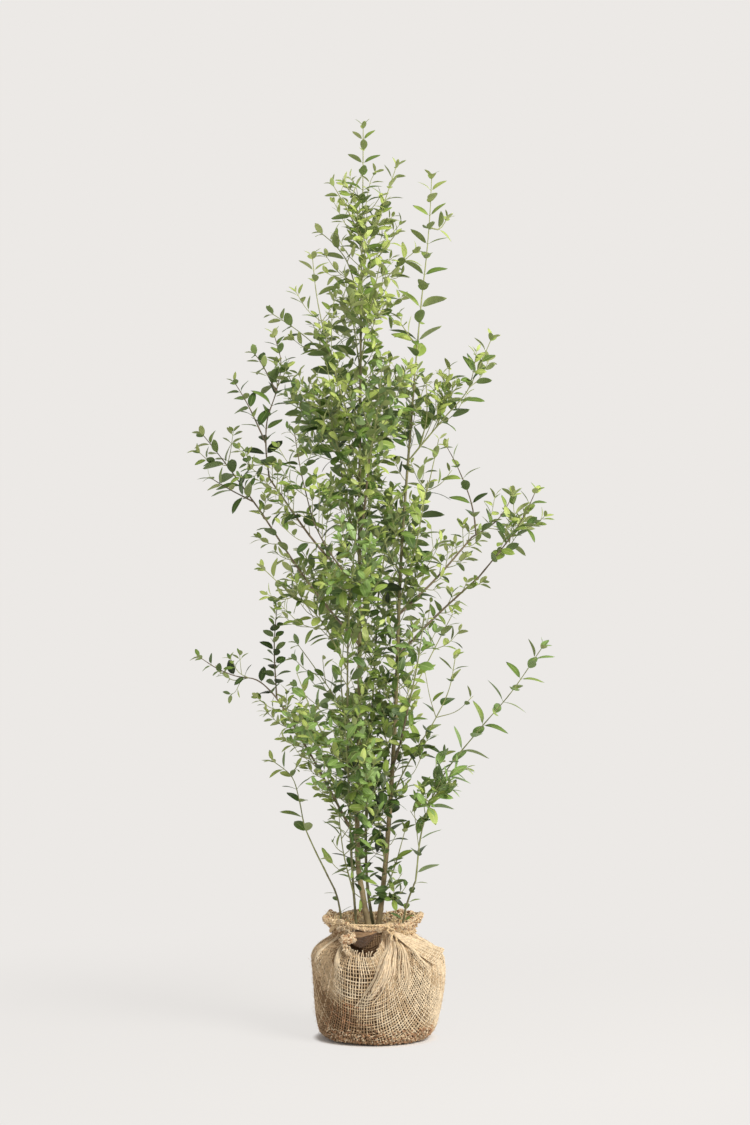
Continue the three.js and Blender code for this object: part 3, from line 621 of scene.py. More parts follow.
dressRule = dict(gap=18, heights=(290, 350, 460, 560), shortest=(18, 30, 32, 24),
                 longest=(28, 42, 44, 38), leafAngle=55, shootAngle=46, swing=20, lift=0.2,
                 spaced=0.4, crossed=0.5, drift=0.5, beyond=170, shootsFrom=(330, 520), shorter=0.35,
                 shorterFrom=(1300, 1480))

# where the photo shows sky through the crown: centre and half sizes, across and up, of a
# rounded opening, and the share of twigs and leaves that still grow in it
openings = [
    (-98, 1545, 24, 24, 0.55), (-96, 1466, 28, 36, 0.6), (38, 1560, 18, 24, 0.6),
    (8, 1448, 24, 26, 0.5), (39, 1410, 18, 20, 0.7), (-129, 1354, 28, 46, 0.6),
    (-62, 1318, 22, 36, 0.65), (-129, 1272, 24, 36, 0.65), (206, 1225, 24, 26, 0.5),
    (174, 1187, 22, 22, 0.6), (-163, 1128, 22, 60, 0.65), (141, 1146, 20, 26, 0.5),
    (-96, 1095, 24, 38, 0.5), (108, 1090, 36, 86, 0.42), (-129, 978, 26, 78, 0.45),
    (-264, 1110, 20, 26, 0.5), (107, 822, 28, 34, 0.5), (-62, 355, 26, 50, 0.5),
    (246, 1000, 18, 20, 0.5), (250, 926, 30, 22, 0.5), (172, 923, 20, 22, 0.5),
    (140, 868, 44, 24, 0.65), (-129, 788, 26, 42, 0.45), (-84, 690, 72, 62, 0.4),
    (-248, 672, 34, 36, 0.6), (88, 660, 50, 62, 0.5), (141, 623, 18, 18, 0.6),
    (39, 566, 22, 34, 0.6), (-129, 420, 22, 36, 0.55), (-90, 355, 52, 48, 0.5),
    (107, 435, 20, 22, 0.6), (39, 345, 20, 40, 0.45),
]

# how a leaf is turned and shaped
leafRule = dict(toTip=0.75, toSky=0.55, upright=0.15, length=(0.84, 0.3), lastLength=(0.85, 0.3),
                swing=22, lastSwing=8, width=(0.43, 0.1), curl=(0.12, 0.36), fold=(0.16, 0.24),
                base=1.2, stemBase=2.5)

# how dark a leaf's tint is, 0 young to 5 darkest: darker with distance from the tip, as leaves age, and
# inside the crown, which is painted shade; lighter high up; then the shade each mass adds, partly its
# leaves' own tint and partly painted shade and light
ageAndShadeRule = dict(distance=(0.5, 2.7, 75), inner=1.6, middle=-10, innerReach=130, innerHigh=0.6,
               high=0.75, highFrom=(1050, 1450), foot=0.2, footTo=(330, 460), spread=3.5,
               least=(0, 1.5, 60))
shade = dict(
    top_middle=-0.6, top_right=-0.5, top_left=-0.5, left_dark=1.1, left_low=1.7, left_inner=0.8,
    left_foot=0.4, front_foot=0.9, right_foot=0.8, middle_foot=1.0, back_foot=0.9,
    left_bush=-0.4, front_low=-0.4, front_low_right=-0.2, front_mid=-0.5, high_front=-0.4,
    left_arch=-0.4, right_low=0.7, right_fork=0.9, right_long=0.2, right_mid=0.1,
    back_low=0.9, back_mid=0.9, back_upper=0.6, right_low_long=-0.7, front_upper=-0.3,
)


def fromTip(low, high, reach, distance):
    return low + (high - low) * (1 - math.exp(-distance / reach))


def layOutShoot(points, level):
    curve = Curve(points)
    count = max(4, round(curve.length / shootRule["step"]))
    places = curve.at(np.linspace(0, 1, count))
    tangents, normals, across = framesAlong(places)
    return dict(length=curve.length, places=places, tangents=tangents, normals=normals,
                across=across, level=level)


def spotOn(shoot, share, turn=0.0):
    # centre, tangent and the way out at a turn round the shoot, at a share of its length
    place = min(max(share, 0), 0.9999) * (len(shoot["places"]) - 1)
    i, w = int(place), place % 1
    centre, tangent, normal, across = (shoot[k][i] * (1 - w) + shoot[k][i + 1] * w
                                       for k in ("places", "tangents", "normals", "across"))
    return centre, tangent, normal * math.cos(turn) + across * math.sin(turn)


def shortened(points):
    # the same path, ending short of its last point by the reach of the leaves there
    curve = Curve(points)
    return curve.at(np.linspace(0, 1 - shootRule["lastReach"] / curve.length, 6))


for mass in masses:
    limb = limbs[mass["on"]]
    share = shareAtHeight(limb, mass["height"]) if "height" in mass else 1
    path = np.vstack([limb["curve"].at(share), mass["path"]])
    main = layOutShoot(shortened(path), 0)
    mass["shoots"], mass["leaves"], ends = [main], [], [path[-1]]
    for at, forkPath in mass.get("forks", []):
        path = np.vstack([spotOn(main, at)[0], forkPath])
        mass["shoots"].append(dict(layOutShoot(shortened(path), 0), kind="_fork"))
        ends.append(path[-1])
    mass["lines"] = [np.vstack([shoot["places"][::4], end])
                     for shoot, end in zip(mass["shoots"], ends)]
    large, twigs = sprays.get(mass["name"], (1, []))
    for at, twig in twigs:
        shoot = layOutShoot(np.vstack([spotOn(main, at)[0], twig]), 1)
        mass["shoots"].append(dict(shoot, large=large))

# the axes of all shoots and limbs, as straight stretches to measure from
lines = [(number, line) for number, mass in enumerate(masses) for line in mass["lines"]]
axisStarts = np.vstack([line[:-1] for _, line in lines])
axisEnds = np.vstack([line[1:] for _, line in lines])
axisOwners = np.concatenate([np.full(len(line) - 1, number) for number, line in lines])
stretches = np.linspace(0, 1, 24)
limbLines = [limb["curve"].at(stretches) for limb in limbs.values()]
limbStarts = np.vstack([line[:-1] for line in limbLines])
limbEnds = np.vstack([line[1:] for line in limbLines])
limbRadii = np.concatenate([limbRadius(limb, stretches)[:-1] for limb in limbs.values()])


def gapsTo(points, starts, ends):
    spans = ends - starts
    away = points[:, None, :] - starts[None]
    t = np.clip((away * spans).sum(2) / (spans**2).sum(1), 0, 1)
    return np.linalg.norm(away - t[:, :, None] * spans, axis=2)


def clearOfLimbs(points):
    room = gapsTo(points, limbStarts, limbEnds) - limbRadii - shootRule["limbRoom"]
    return room.min() > 0 and points[:, 2].min() > limbRule["soil"] + shootRule["leafLine"]


def inOwnSpace(number, points):
    if number is None:
        return True
    gaps = gapsTo(points, axisStarts, axisEnds)
    own = gaps[:, axisOwners == number].min(1)
    other = gaps[:, axisOwners != number].min(1)
    return own.max() < shootRule["reach"] and (other > own + shootRule["margin"]).all()


def inOpening(place, draw):
    for x, z, across, tall, share in openings:
        if ((place[0] - x) / across) ** 2 + ((place[2] - z) / tall) ** 2 < 1:
            return draw() > share
    return False


leafMiddles = {}  # by cell, so that only near ones are measured


def cellOf(point):
    return tuple((point // shootRule["cell"]).astype(int))


def crowded(point, room):
    x, y, z = cellOf(point)
    around = [(x + i, y + j, z + k) for i in (-1, 0, 1) for j in (-1, 0, 1) for k in (-1, 0, 1)]
    return any(np.linalg.norm(other - point) < room
               for cell in around for other in leafMiddles.get(cell, ()))


def pairsDown(length, bare, closer=1):
    # how far down from the tip each pair of leaves stands
    distances, distance = [], shootRule["firstPair"]
    while distance < length - bare:
        distances.append(distance)
        distance += fromTip(*shootRule["gap"], distance) * closer
    return distances


def risingTwig(centre, heading, length, lift):
    # the inner half's span, the middle and the tip of a twig whose outer half lifts
    half = heading * length / 2
    middle = centre + half
    return half, middle, middle + half * (1 - lift) + up * lift * length


def growTwig(number, mass, shoot, distance, turn, sign, draw, length, level):
    share = 1 - distance / shoot["length"]
    centre, tangent, side = spotOn(shoot, share, turn)
    heading = leaning(tangent, side * sign, twigRule["angle"] + twigRule["swing"] * (draw() - 0.5))
    half, middle, tip = risingTwig(centre, heading, length, twigRule["lift"])
    if inOpening(tip, draw) or not inOwnSpace(number, np.array([middle, tip])):
        return False
    if not clearOfLimbs(np.array([centre + half * 0.3, middle, tip])) \
            or crowded(tip, shootRule["tipRoom"]):
        return False
    twig = layOutShoot([centre, middle, tip], level)
    for other in mass["shoots"]:
        if other is not shoot and gapsTo(twig["places"][-3:], other["places"][:-1],
                                         other["places"][1:]).min() < shootRule["twigRoom"]:
            return False
    mass["shoots"].append(twig)
    shoot["held"] = max(shoot.get("held", 0), share)
    return True


def growTwigs(number, mass, draw):
    # side twigs stand in the axils of the shoots' leaf pairs, and finer ones on them
    rule = twigRule
    wanted = round(mass["twigs"] * bushy.get(mass["name"], 2))
    bare = clean.get(mass["name"], 0)
    stub = stubby.get(mass["name"], 1)
    sites = [(shoot, i, distance) for shoot in mass["shoots"]
             for i, distance in enumerate(pairsDown(shoot["length"], rule["bare"], rule["closer"]))
             if distance > max(rule["room"], bare * shoot["length"])]
    for k in range(len(sites)):
        if wanted <= 0:
            break
        shoot, i, distance = sites[int(k * rule["spread"] * len(sites)) % len(sites)]
        length = min(rule["longest"], rule["share"] * distance + rule["added"])
        length = length * between(rule["vary"], draw) * stub
        for sign in (1, -1):
            if growTwig(number, mass, shoot, distance, i * math.pi / 2 + mass["turn"], sign, draw,
                        max(rule["shortest"] * stub, length), 1):
                wanted -= 1
    low, high = rule["fineLength"]
    for shoot in [s for s in mass["shoots"] if s["level"] == 1]:
        for i, distance in enumerate(pairsDown(shoot["length"], rule["fineBare"])):
            if distance > rule["fineFrom"] and draw() < rule["finePerTwig"]:
                sign = 1 if draw() < 0.5 else -1
                length = low + (high - low) * draw()
                growTwig(number, mass, shoot, distance, i * math.pi / 2, sign, draw, length, 2)


def ageAndShadeOf(mass, middle, distance, draw):
    rule = ageAndShadeRule
    high = smoothstep(middle[2], *rule["highFrom"])
    # inside the crown the tint is painted darker as shade
    inner = max(0, 1 - np.hypot(middle[0] - rule["middle"], middle[1]) / rule["innerReach"])
    age = fromTip(*rule["distance"], distance) - rule["high"] * high
    age += rule["inner"] * inner * (1 - rule["innerHigh"] * high) + rule["spread"] * (draw() - 0.5)
    age -= rule["foot"] * (1 - smoothstep(middle[2], *rule["footTo"]))
    age += shade.get(mass["name"], 0) + mass["drift"]
    return max(age, fromTip(*rule["least"], distance))


def addLeaf(number, mass, root, heading, tangent, length, distance, draw, wider=1, roll=0.9,
            room=shootRule["leafRoom"]):
    # a leaf turns its upper face to the shoot's tip and to the sky
    rule = leafRule
    face = unit(tangent * rule["toTip"] + up * rule["toSky"])
    face = face - heading * np.dot(face, heading)
    if np.linalg.norm(face) < rule["upright"]:
        face = np.cross(heading, [0.4, 0.9, 0.1])
    face = turned(unit(face), heading, roll * (draw() - 0.5))
    across = np.cross(face, heading)
    width = length * between(rule["width"], draw) * wider
    middle = root + heading * length * 0.5
    points = np.array([middle, root + heading * length, middle + across * width / 2,
                       middle - across * width / 2])
    if draw() > sparse.get(mass["name"], 1) or inOpening(middle, draw) or not clearOfLimbs(points):
        return
    if crowded(middle, room) or not inOwnSpace(number, points[:2]):
        return
    leafMiddles.setdefault(cellOf(middle), []).append(middle)
    mass["leaves"].append(dict(
        root=root, heading=heading, face=face, across=across, length=length, width=width,
        age=ageAndShadeOf(mass, middle, distance, draw), curl=between(rule["curl"], draw),
        fold=between(rule["fold"], draw)))


def growLeaves(number, mass, shoot, draw):
    rule, level = shootRule, shoot["level"]
    own = mass["name"] + shoot.get("kind", "")
    closer, shorter, wider = habit.get(own, habit.get(mass["name"], (1, 1, 1)))
    wider *= rule["widths"][level]
    small = rule["sizes"][level] * shorter * shoot.get("large", 1)
    roll = rolled.get(own, rule["rolls"][level])
    turn = draw() * math.pi if level else mass["turn"]
    before = len(mass["leaves"])
    for sign in (1, -1):
        end, tangent, side = spotOn(shoot, 1, turn)
        heading = leaning(tangent, side * sign,
                          rule["lastAngle"] + leafRule["lastSwing"] * (draw() - 0.5))
        addLeaf(number, mass, end, heading, tangent,
                rule["lastLeaf"] * between(leafRule["lastLength"], draw), 0, draw, wider, roll,
                rule["endRoom"])
    shoot["reach"] = 1 if len(mass["leaves"]) > before else shoot.get("held", 0)
    turn += math.pi / 2
    bare = rule["twigBare"] if level else rule["bare"]
    for distance in pairsDown(shoot["length"], bare, rule["gaps"][level] * closer):
        share = 1 - distance / shoot["length"]
        centre, tangent, side = spotOn(shoot, share, turn)
        length = fromTip(*rule["leaf"], distance) * small
        angle = fromTip(*rule["angle"], distance)
        room = rule["endRoom" if distance < rule["nearTip"] else "leafRoom"]
        for sign in (1, -1):
            heading = leaning(tangent, side * sign, angle + leafRule["swing"] * (draw() - 0.5))
            addLeaf(number, mass, centre + heading * leafRule["base"], heading, tangent,
                    length * between(leafRule["length"], draw), distance, draw, wider, roll, room)
        if len(mass["leaves"]) > before:
            shoot["reach"] = max(shoot["reach"], share)
        turn += math.pi / 2 + rule["crossed"] * (draw() - 0.5)


def growDressing(growth, centre, tangent, out, length, draw):
    heading = leaning(tangent, out, dressRule["shootAngle"] + dressRule["swing"] * (draw() - 0.5))
    half, middle, tip = risingTwig(centre, heading, length, dressRule["lift"])
    if inOpening(tip, draw):
        return
    if clearOfLimbs(np.array([centre + half * 0.6, middle, tip])) \
            and not crowded(tip, shootRule["tipRoom"]):
        growth["shoots"].append(layOutShoot([centre, middle, tip], 1))


def dressLimb(name, limb, seed):
    # short shoots and single leaves in pairs, straight on a stem or bough
    rule = dressRule
    start, stop, chance, keep, (short, long) = dressing[name]
    draw = seededRandom(seed)
    line = layOutShoot(limb["curve"].at(np.linspace(start, stop, 12)), 0)
    growth = dict(name=name, shoots=[], leaves=[], turn=0, drift=rule["drift"] * (draw() - 0.5))
    turn = draw() * math.pi
    for k in range(int(line["length"] / rule["gap"])):
        distance = (k + 0.5 + rule["spaced"] * (draw() - 0.5)) * rule["gap"]
        centre, tangent, side = spotOn(line, 1 - distance / line["length"], turn)
        turn += math.pi / 2 + rule["crossed"] * (draw() - 0.5)
        for out in (side, -side):
            if draw() > keep:
                continue
            if draw() < chance * smoothstep(centre[2], *rule["shootsFrom"]):
                length = short + (long - short) * draw() * draw()
                length *= 1 - rule["shorter"] * smoothstep(centre[2], *rule["shorterFrom"])
                growDressing(growth, centre, tangent, out, length, draw)
            else:
                heading = leaning(tangent, out, rule["leafAngle"] + rule["swing"] * (draw() - 0.5))
                low, high = (np.interp(centre[2], rule["heights"], rule[key])
                             for key in ("shortest", "longest"))
                addLeaf(None, growth, centre + heading * leafRule["stemBase"], heading, tangent,
                        low + (high - low) * draw(), rule["beyond"], draw)
    return growth


for number, mass in enumerate(masses):
    draw = seededRandom(seeds["twigs"] + number)
    mass["turn"] = massDrift["turn"] * (draw() - 0.5)
    mass["drift"] = massDrift["age"] * (draw() - 0.5)
    growTwigs(number, mass, draw)
for number, mass in enumerate(masses):
    draw = seededRandom(seeds["leaves"] + number)
    for shoot in mass["shoots"]:
        growLeaves(number, mass, shoot, draw)
dressings = [dressLimb(name, limbs[name], seeds["dressing"] + k) for k, name in enumerate(dressing)]
for k, growth in enumerate(dressings):
    draw = seededRandom(seeds["dressingLeaves"] + k)
    for shoot in growth["shoots"]:
        growLeaves(None, growth, shoot, draw)
growths = masses + dressings
print("crown laid out:", sum(len(g["leaves"]) for g in growths), "leaves on",
      sum(len(g["shoots"]) for g in growths), "shoots")


# Leaf blades: a fold along the midrib, edges that turn down a little and a tip that curls

leafBlade = dict(thickness=0.45, petiole=2.4, shortBelow=27, edgeDrop=0.16, curlPower=1.8,
                 roundness=0.72, widest=1.04, narrower=0.1,
                 stalkRadii=(0.55, 0.385), stalkIn=1.0, stalkOut=1.5, stalkSides=3)
bladeForms = dict(
    long=dict(stations=(0.07, 0.2, 0.36, 0.53, 0.7, 0.86), columns=(-1, -0.5, -0.07, 0.07, 0.5, 1)),
    short=dict(stations=(0.1, 0.3, 0.55, 0.82), columns=(-1, -0.1, 0.1, 1)),
)


def bladeWidth(t):
    # half the width at a share of the length, as a share of the half-width: pointed both ends
    oval = (4 * t * (1 - t)) ** leafBlade["roundness"]
    return oval * (leafBlade["widest"] - leafBlade["narrower"] * t)


def bladeFaces(form):
    # quads and end triangles of the upper side, the underside and the midrib
    rows, wide = len(form["stations"]), len(form["columns"])
    per = wide + 3  # upper columns, then the underside's two edges and middle
    root, tip, last = rows * per, rows * per + 1, (rows - 1) * per
    looks = [2 if j == wide // 2 - 1 else 0 for j in range(wide - 1)]
    quads, ends = [[], [], []], [[], [], []]
    for i in range(rows - 1):
        a, b = i * per, (i + 1) * per
        for j, look in enumerate(looks):
            quads[look].append([b + j, b + j + 1, a + j + 1, a + j])
        for j in (wide, wide + 1):
            quads[1].append([b + j + 1, b + j, a + j, a + j + 1])
    for j, look in enumerate(looks):
        ends[look] += [[j, j + 1, root], [last + j + 1, last + j, tip]]
    for j in (wide, wide + 1):
        ends[1] += [[j + 1, j, root], [last + j, last + j + 1, tip]]
    return [(np.array(part), look) for look in range(3) for part in (quads[look], ends[look])]


for form in bladeForms.values():
    form["faces"] = bladeFaces(form)


def addBlade(bundle, leaf):
    length, half = leaf["length"], leaf["width"] / 2
    form = bladeForms["short" if length < leafBlade["shortBelow"] else "long"]
    start = leaf["root"] + leaf["heading"] * leafBlade["petiole"]
    t = np.array(form["stations"])
    c = np.array(form["columns"])
    wide = bladeWidth(t) * half

    def place(t, sideways, lift):
        sag = -leaf["curl"] * length * t ** leafBlade["curlPower"]
        return start + np.multiply.outer(t * length, leaf["heading"]) \
            + np.multiply.outer(sideways, leaf["across"]) \
            + np.multiply.outer(lift + sag, leaf["face"])

    rows = []
    for i in range(len(t)):
        across = c * wide[i]
        lift = leaf["fold"] * np.abs(across) - leafBlade["edgeDrop"] * half * c**2
        lift += leafBlade["thickness"] * (1 - c**2) / 2
        rows.append(place(np.full(len(c), t[i]), across, lift))
        across = np.array([-wide[i], 0, wide[i]])
        lift = leaf["fold"] * np.abs(across) - leafBlade["edgeDrop"] * half * np.array([1, 0, 1])
        lift[1] -= leafBlade["thickness"]
        rows.append(place(np.full(3, t[i]), across, lift))
    rows.append(place(np.array([0.0, 1.0]), np.zeros(2), np.zeros(2)))
    for faces, look in form["faces"]:
        bundle.addFaces(faces, look)
    points = np.vstack(rows)
    bundle.points.append(points)
    bundle.count += len(points)
    stalk = np.array([leaf["root"] - leaf["heading"] * leafBlade["stalkIn"],
                      start + leaf["heading"] * leafBlade["stalkOut"]])
    addTube(bundle, stalk, leafBlade["stalkRadii"], leafBlade["stalkSides"], 2,
            normals=np.array([leaf["face"], leaf["face"]]))


# leaf tints from the youngest to the oldest, then a painted-light tint for the lit sprays' flat young
# leaves; each gives upper side, underside, midrib
leafTints = [
    ("young", (164, 180, 94), (164, 174, 112), (184, 192, 120)),
    ("fresh", (130, 152, 68), (140, 154, 94), (158, 172, 100)),
    ("green", (97, 123, 51), (119, 138, 81), (134, 152, 85)),
    ("full", (74, 100, 43), (102, 121, 71), (113, 135, 75)),
    ("deep", (50, 70, 26), (80, 97, 52), (88, 108, 56)),
    ("dark", (33, 46, 18), (62, 76, 42), (66, 84, 42)),
    ("bright", (126, 156, 82), (136, 158, 104), (160, 182, 116)),
]
brightSprays = ("left_bush", "front_low", "front_mid", "front_upper", "left_upper",
                "front_low_right", "left_back_low", "back_low", "back_mid", "right_low_long")
bright = dict(number=len(leafTints) - 1, below=3, curl=0.33)

bundles = [Bundle() for tint in leafTints]
grownBy = [set() for tint in leafTints]
for growth in growths:
    for leaf in growth["leaves"]:
        tint = int(np.clip(leaf["age"], 0, bright["number"] - 1))
        # flat young leaves of the lit sprays take the bright tint: painted light
        if growth["name"] in brightSprays and tint < bright["below"] and leaf["curl"] < bright["curl"]:
            tint = bright["number"]
        addBlade(bundles[tint], leaf)
        if growth["name"] not in limbs:
            grownBy[tint].add("leaves_" + growth["name"])
for (name, upper, under, rib), bundle, nodes in zip(leafTints, bundles, grownBy):
    finishes = [
        makeFinish(name + "_leaf", upper, 0.42, vary=0.12, patch=30, bump=0.12, grain=450),
        makeFinish(name + "_leaf_underside", under, 0.6, vary=0.08, patch=60, bump=0.2, grain=900),
        makeFinish(name + "_leaf_midrib", rib, 0.5, vary=0.08, patch=60, bump=0.1, grain=900),
    ]
    bundle.make(name + "_leaves", finishes, "foliage", sorted(nodes))

# twigs: radii at foot and tip and the number of sides, by level
twigForms = [(1.75, 0.75, 7), (0.95, 0.55, 5), (0.65, 0.45, 4)]
twigSwell = dict(taper=0.8, share=0.1, length=5.1)
twigBundles = dict(green=Bundle(), brown=Bundle())
twigNodes = dict(green=set(), brown=set())
brownMasses = ("left_dark", "left_mid", "left_low", "left_inner", "right_long", "right_mid")
for growth in growths:
    for shoot in growth["shoots"]:
        kind = "brown" if growth["name"] in brownMasses and shoot["level"] == 0 else "green"
        thick, thin, sides = twigForms[shoot["level"]]
        reach = shoot["reach"] if shoot["level"] else 1  # a side twig ends at its furthest leaf
        if reach == 0:
            continue
        places = shoot["places"][:math.ceil(reach * (len(shoot["places"]) - 1)) + 1]
        share = np.linspace(0, 1, len(places))
        radii = thick + (thin - thick) * share ** twigSwell["taper"]
        swell = np.sin(share * shoot["length"] / twigSwell["length"] + len(growth["leaves"]))
        radii = radii * (1 + twigSwell["share"] * swell)
        addTube(twigBundles[kind], places, radii, sides, tip=True)
        if growth["name"] not in limbs:
            twigNodes[kind].add("leaves_" + growth["name"])
twigFinish = dict(
    green=makeFinish("green_twig", (146, 150, 98), 0.6, vary=0.2, patch=60, bump=0.3, grain=900),
    brown=makeFinish("brown_twig", (106, 94, 76), 0.7, vary=0.22, patch=60, bump=0.4, grain=900),
)
for kind, bundle in twigBundles.items():
    bundle.make(kind + "_twigs", [twigFinish[kind]], "foliage", sorted(twigNodes[kind]))
print("leaves and twigs made")


# The root ball. Its cloth is one surface, read by an angle and by the distance along the
# outline from the middle of the underside, over the side and neck, to the free edge.

ball = dict(
    outline=[(0, 2.4), (60, 2.4), (89, 2.8), (104, 12), (111, 28), (116, 52), (121, 92), (123, 124),
             (121, 148), (112, 166), (96, 179), (80, 188), (72.5, 195), (73, 203), (78, 211.5),
             (83.5, 221), (86, 230)],
    shift=-6, lean=((0, 60, 130, 200), (0, 4, 5, -6)), rimFrom=206, rim=230, frontDrop=13,
    backDrop=8, foldsOut=(20, 80), foldsUp=(2, 16), steps=700, sideFrom=60,
)
outline = Curve([(r, 0, z) for r, z in ball["outline"]])
outlineSteps = np.linspace(0, outline.length, ball["steps"])
outlinePlaces = outline.at(outlineSteps / outline.length)
outlineLean = unit(np.gradient(outlinePlaces, axis=0))
rimAt = outline.length
sideSteps, sideHeights = outlineSteps[ball["sideFrom"]:], outlinePlaces[ball["sideFrom"]:, 2]

# waves round the cloth: how many, how high and how far turned
waves = dict(gathers=[(9, 1, 0.6), (5, 0.5, 2.1)], ruffle=[(7, 3, 1)],
             neck=[(22, 1.5, 0.4), (37, 1.1, 2)], edge=[(6, 3, 1)])
# the heights between which they grow, those of the neck fading again towards the rim
waveHeights = dict(gathers=(95, 185), ruffle=(205, 228), neck=(150, 190), rim=(210, 231),
                   lumps=(8, 40))
waveShares = dict(gathers=(0.9, 1.9), rim=0.5, lumps=1.1)

# folds drawn together at the knot and round the neck: heights and angles from top to bottom
pleats = [  # the first three are ridged, pale threads standing over dark ones
    dict(path=[(206, -60), (164, -81), (130, -88), (104, -94), (68, -108)], height=9.0, width=6.5,
         threads=11),
    dict(path=[(206, -55), (164, -74), (130, -81), (98, -86)], height=5.5, width=5.5, threads=8),
    dict(path=[(204, -52), (157, -65), (100, -70)], height=4.0, width=7.5, threads=11),
    dict(path=[(202, -46), (164, -50), (132, -42)], height=4.0, width=5.5, threads=7),
    dict(path=[(200, -130), (165, -127), (130, -126)], height=4.5, width=6.0, threads=7),
    dict(path=[(196, -149), (164, -155), (140, -156)], height=3.5, width=6.0, threads=6),
    dict(path=[(198, -14), (165, -10), (130, -4)], height=4.0, width=6.0, threads=7),
    dict(path=[(198, 22), (160, 20), (118, 25)], height=4.0, width=6.5, threads=7),
    dict(path=[(198, 54), (160, 57), (120, 52)], height=3.5, width=6.0, threads=6),
    dict(path=[(198, 86), (158, 84), (96, 92)], height=5.0, width=7.0, threads=8),
    dict(path=[(198, 117), (160, 120), (118, 116)], height=3.5, width=6.0, threads=6),
    dict(path=[(198, 149), (160, 147), (112, 153)], height=4.0, width=6.5, threads=7),
    dict(path=[(198, 179), (160, 181), (126, 177)], height=3.5, width=6.0, threads=6),
]
pleatForm = dict(foot=(-4, 26), head=(-2, 8), narrower=0.45, narrows=(140, 200), around=100,
                 groove=0.5, grooveAt=1.7)
for pleat in pleats:
    heights, angles = np.array(pleat["path"], float).T
    pleat["heights"], pleat["angles"] = heights[::-1], np.radians(angles[::-1])


def wrapped(angle):
    return (angle + math.pi) % (2 * math.pi) - math.pi


def stepAt(height):
    # how far along the outline its side stands at a height
    return np.interp(height, sideHeights, sideSteps)


def wavesAt(kind, theta):
    return sum(high * np.cos(count * theta + phase) for count, high, phase in waves[kind])


def grown(kind, z):
    return smoothstep(z, *waveHeights[kind])


def foldAt(theta, z):
    least, more = waveShares["gathers"]
    gathers = wavesAt("gathers", theta) * (least + more * grown("gathers", z))
    neck = grown("neck", z) * (1 - waveShares["rim"] * grown("rim", z)) * wavesAt("neck", theta)
    lumps = waveShares["lumps"] * np.sin(3 * theta + z / 23) * np.sin(4 * theta - z / 31 + 1)
    return gathers + grown("ruffle", z) * wavesAt("ruffle", theta) + neck \
        + lumps * grown("lumps", z) + pleatAt(theta, z)


def pleatAt(theta, z):
    # each pleat is a ridge between two grooves that fades at its foot and head
    rule, rise = pleatForm, 0
    for pleat in pleats:
        foot, head = (pleat["heights"][end] + np.array(rule[key])
                      for end, key in ((0, "foot"), (-1, "head")))
        ends = smoothstep(z, *foot) * (1 - smoothstep(z, *head))
        width = pleat["width"] * (1 - rule["narrower"] * smoothstep(z, *rule["narrows"]))
        away = wrapped(theta - np.interp(z, pleat["heights"], pleat["angles"]))
        gap = away * rule["around"] / width
        groove = rule["groove"] * np.exp(-(abs(gap) - rule["grooveAt"])**2)
        rise = rise + ends * pleat["height"] * (np.exp(-gap**2) - groove)
    return rise


def atFront(theta):
    return np.maximum(0, -np.sin(theta)) ** 1.5


def clothAt(theta, s, off=0.0):
    # places on the cloth, and which way is out of it
    theta, s = np.broadcast_arrays(np.asarray(theta, float), np.asarray(s, float))
    r = np.interp(s, outlineSteps, outlinePlaces[:, 0])
    z = np.interp(s, outlineSteps, outlinePlaces[:, 2])
    outR = np.interp(s, outlineSteps, outlineLean[:, 2])
    outZ = -np.interp(s, outlineSteps, outlineLean[:, 0])
    folded = smoothstep(r, *ball["foldsOut"]) * np.where(z > 1, 1, 0)
    radius = r + foldAt(theta, z) * folded * smoothstep(z, *ball["foldsUp"]) + outR * off
    edge = wavesAt("edge", theta) - ball["frontDrop"] * atFront(theta)
    edge = edge - ball["backDrop"] * atFront(-theta)
    height = z + outZ * off \
        + edge * np.maximum(0, z - ball["rimFrom"]) / (ball["rim"] - ball["rimFrom"])
    shift = np.interp(z, *ball["lean"])
    places = np.stack([radius * np.cos(theta) + shift, radius * np.sin(theta), height], -1)
    out = np.stack([outR * np.cos(theta), outR * np.sin(theta), outZ], -1)
    return places, unit(out)


def clothGrid(rows, columns, reach, off):
    # the cloth in rows, from the middle of the underside as far as reach
    angles = np.linspace(-math.pi, math.pi, columns)
    return clothAt(angles[None, :], np.linspace(0, reach, rows)[:, None], off)


# The weave: square cloth wrapped up from below, thread by thread, over and under. At the front
# left it is pulled open into a coarse mesh, and above that it is torn.

weave = dict(pitch=5.8, radius=1.04, over=0.75, turn=-105, innermost=86, slub=0.22, uneven=0.25,
             thick=(0.85, 0.35), tone=0.34, sway=0.5, swayLength=3.1, slubLength=0.9, sides=4,
             shortest=3, endWave=1.2, endTurn=7, endShort=1)
mesh = dict(angle=-109, height=130, across=36, wide=1.9, up=46, wider=0.8, taller=0.2,
            middle=(-40, 130), halves=(31, 50))
# on the ridged pleats, ridges gives each of three threads in turn how proud it stands and its tone; the
# low third is painted dark as the shade between the ridges
pleatThread = dict(step=4.0, apart=1.7, away=110, shorter=0.3, thick=(0.85, 0.3), ridged=3,
                   proud=1.5, tone=0.3, ridges=((2.4, 0.5), (2.6, 0.4), (1.0, -0.5)),
                   fan=(0.75, 0.8), fanFrom=(-200, -90), wander=0.7, wanderLength=9)
frontFrom = -30  # the tear and the mesh are before this
tear = np.array([(-46, 194), (-35, 203), (-10, 204), (12, 207), (10, 194), (3, 181), (-5, 171),
                 (-11, 167), (-27, 169), (-40, 171), (-52, 175), (-56, 184)], float)
meshAt = float(stepAt(mesh["height"]))


def insideTear(places):
    inside = np.zeros(len(places), bool)
    for (ax, az), (bx, bz) in zip(tear, np.roll(tear, -1, axis=0)):
        crosses = (az > places[:, 2]) != (bz > places[:, 2])
        at = ax + (places[:, 2] - az) / (bz - az + 1e-9) * (bx - ax)
        inside ^= crosses & (places[:, 0] < at)
    return inside & (places[:, 1] < frontFrom)


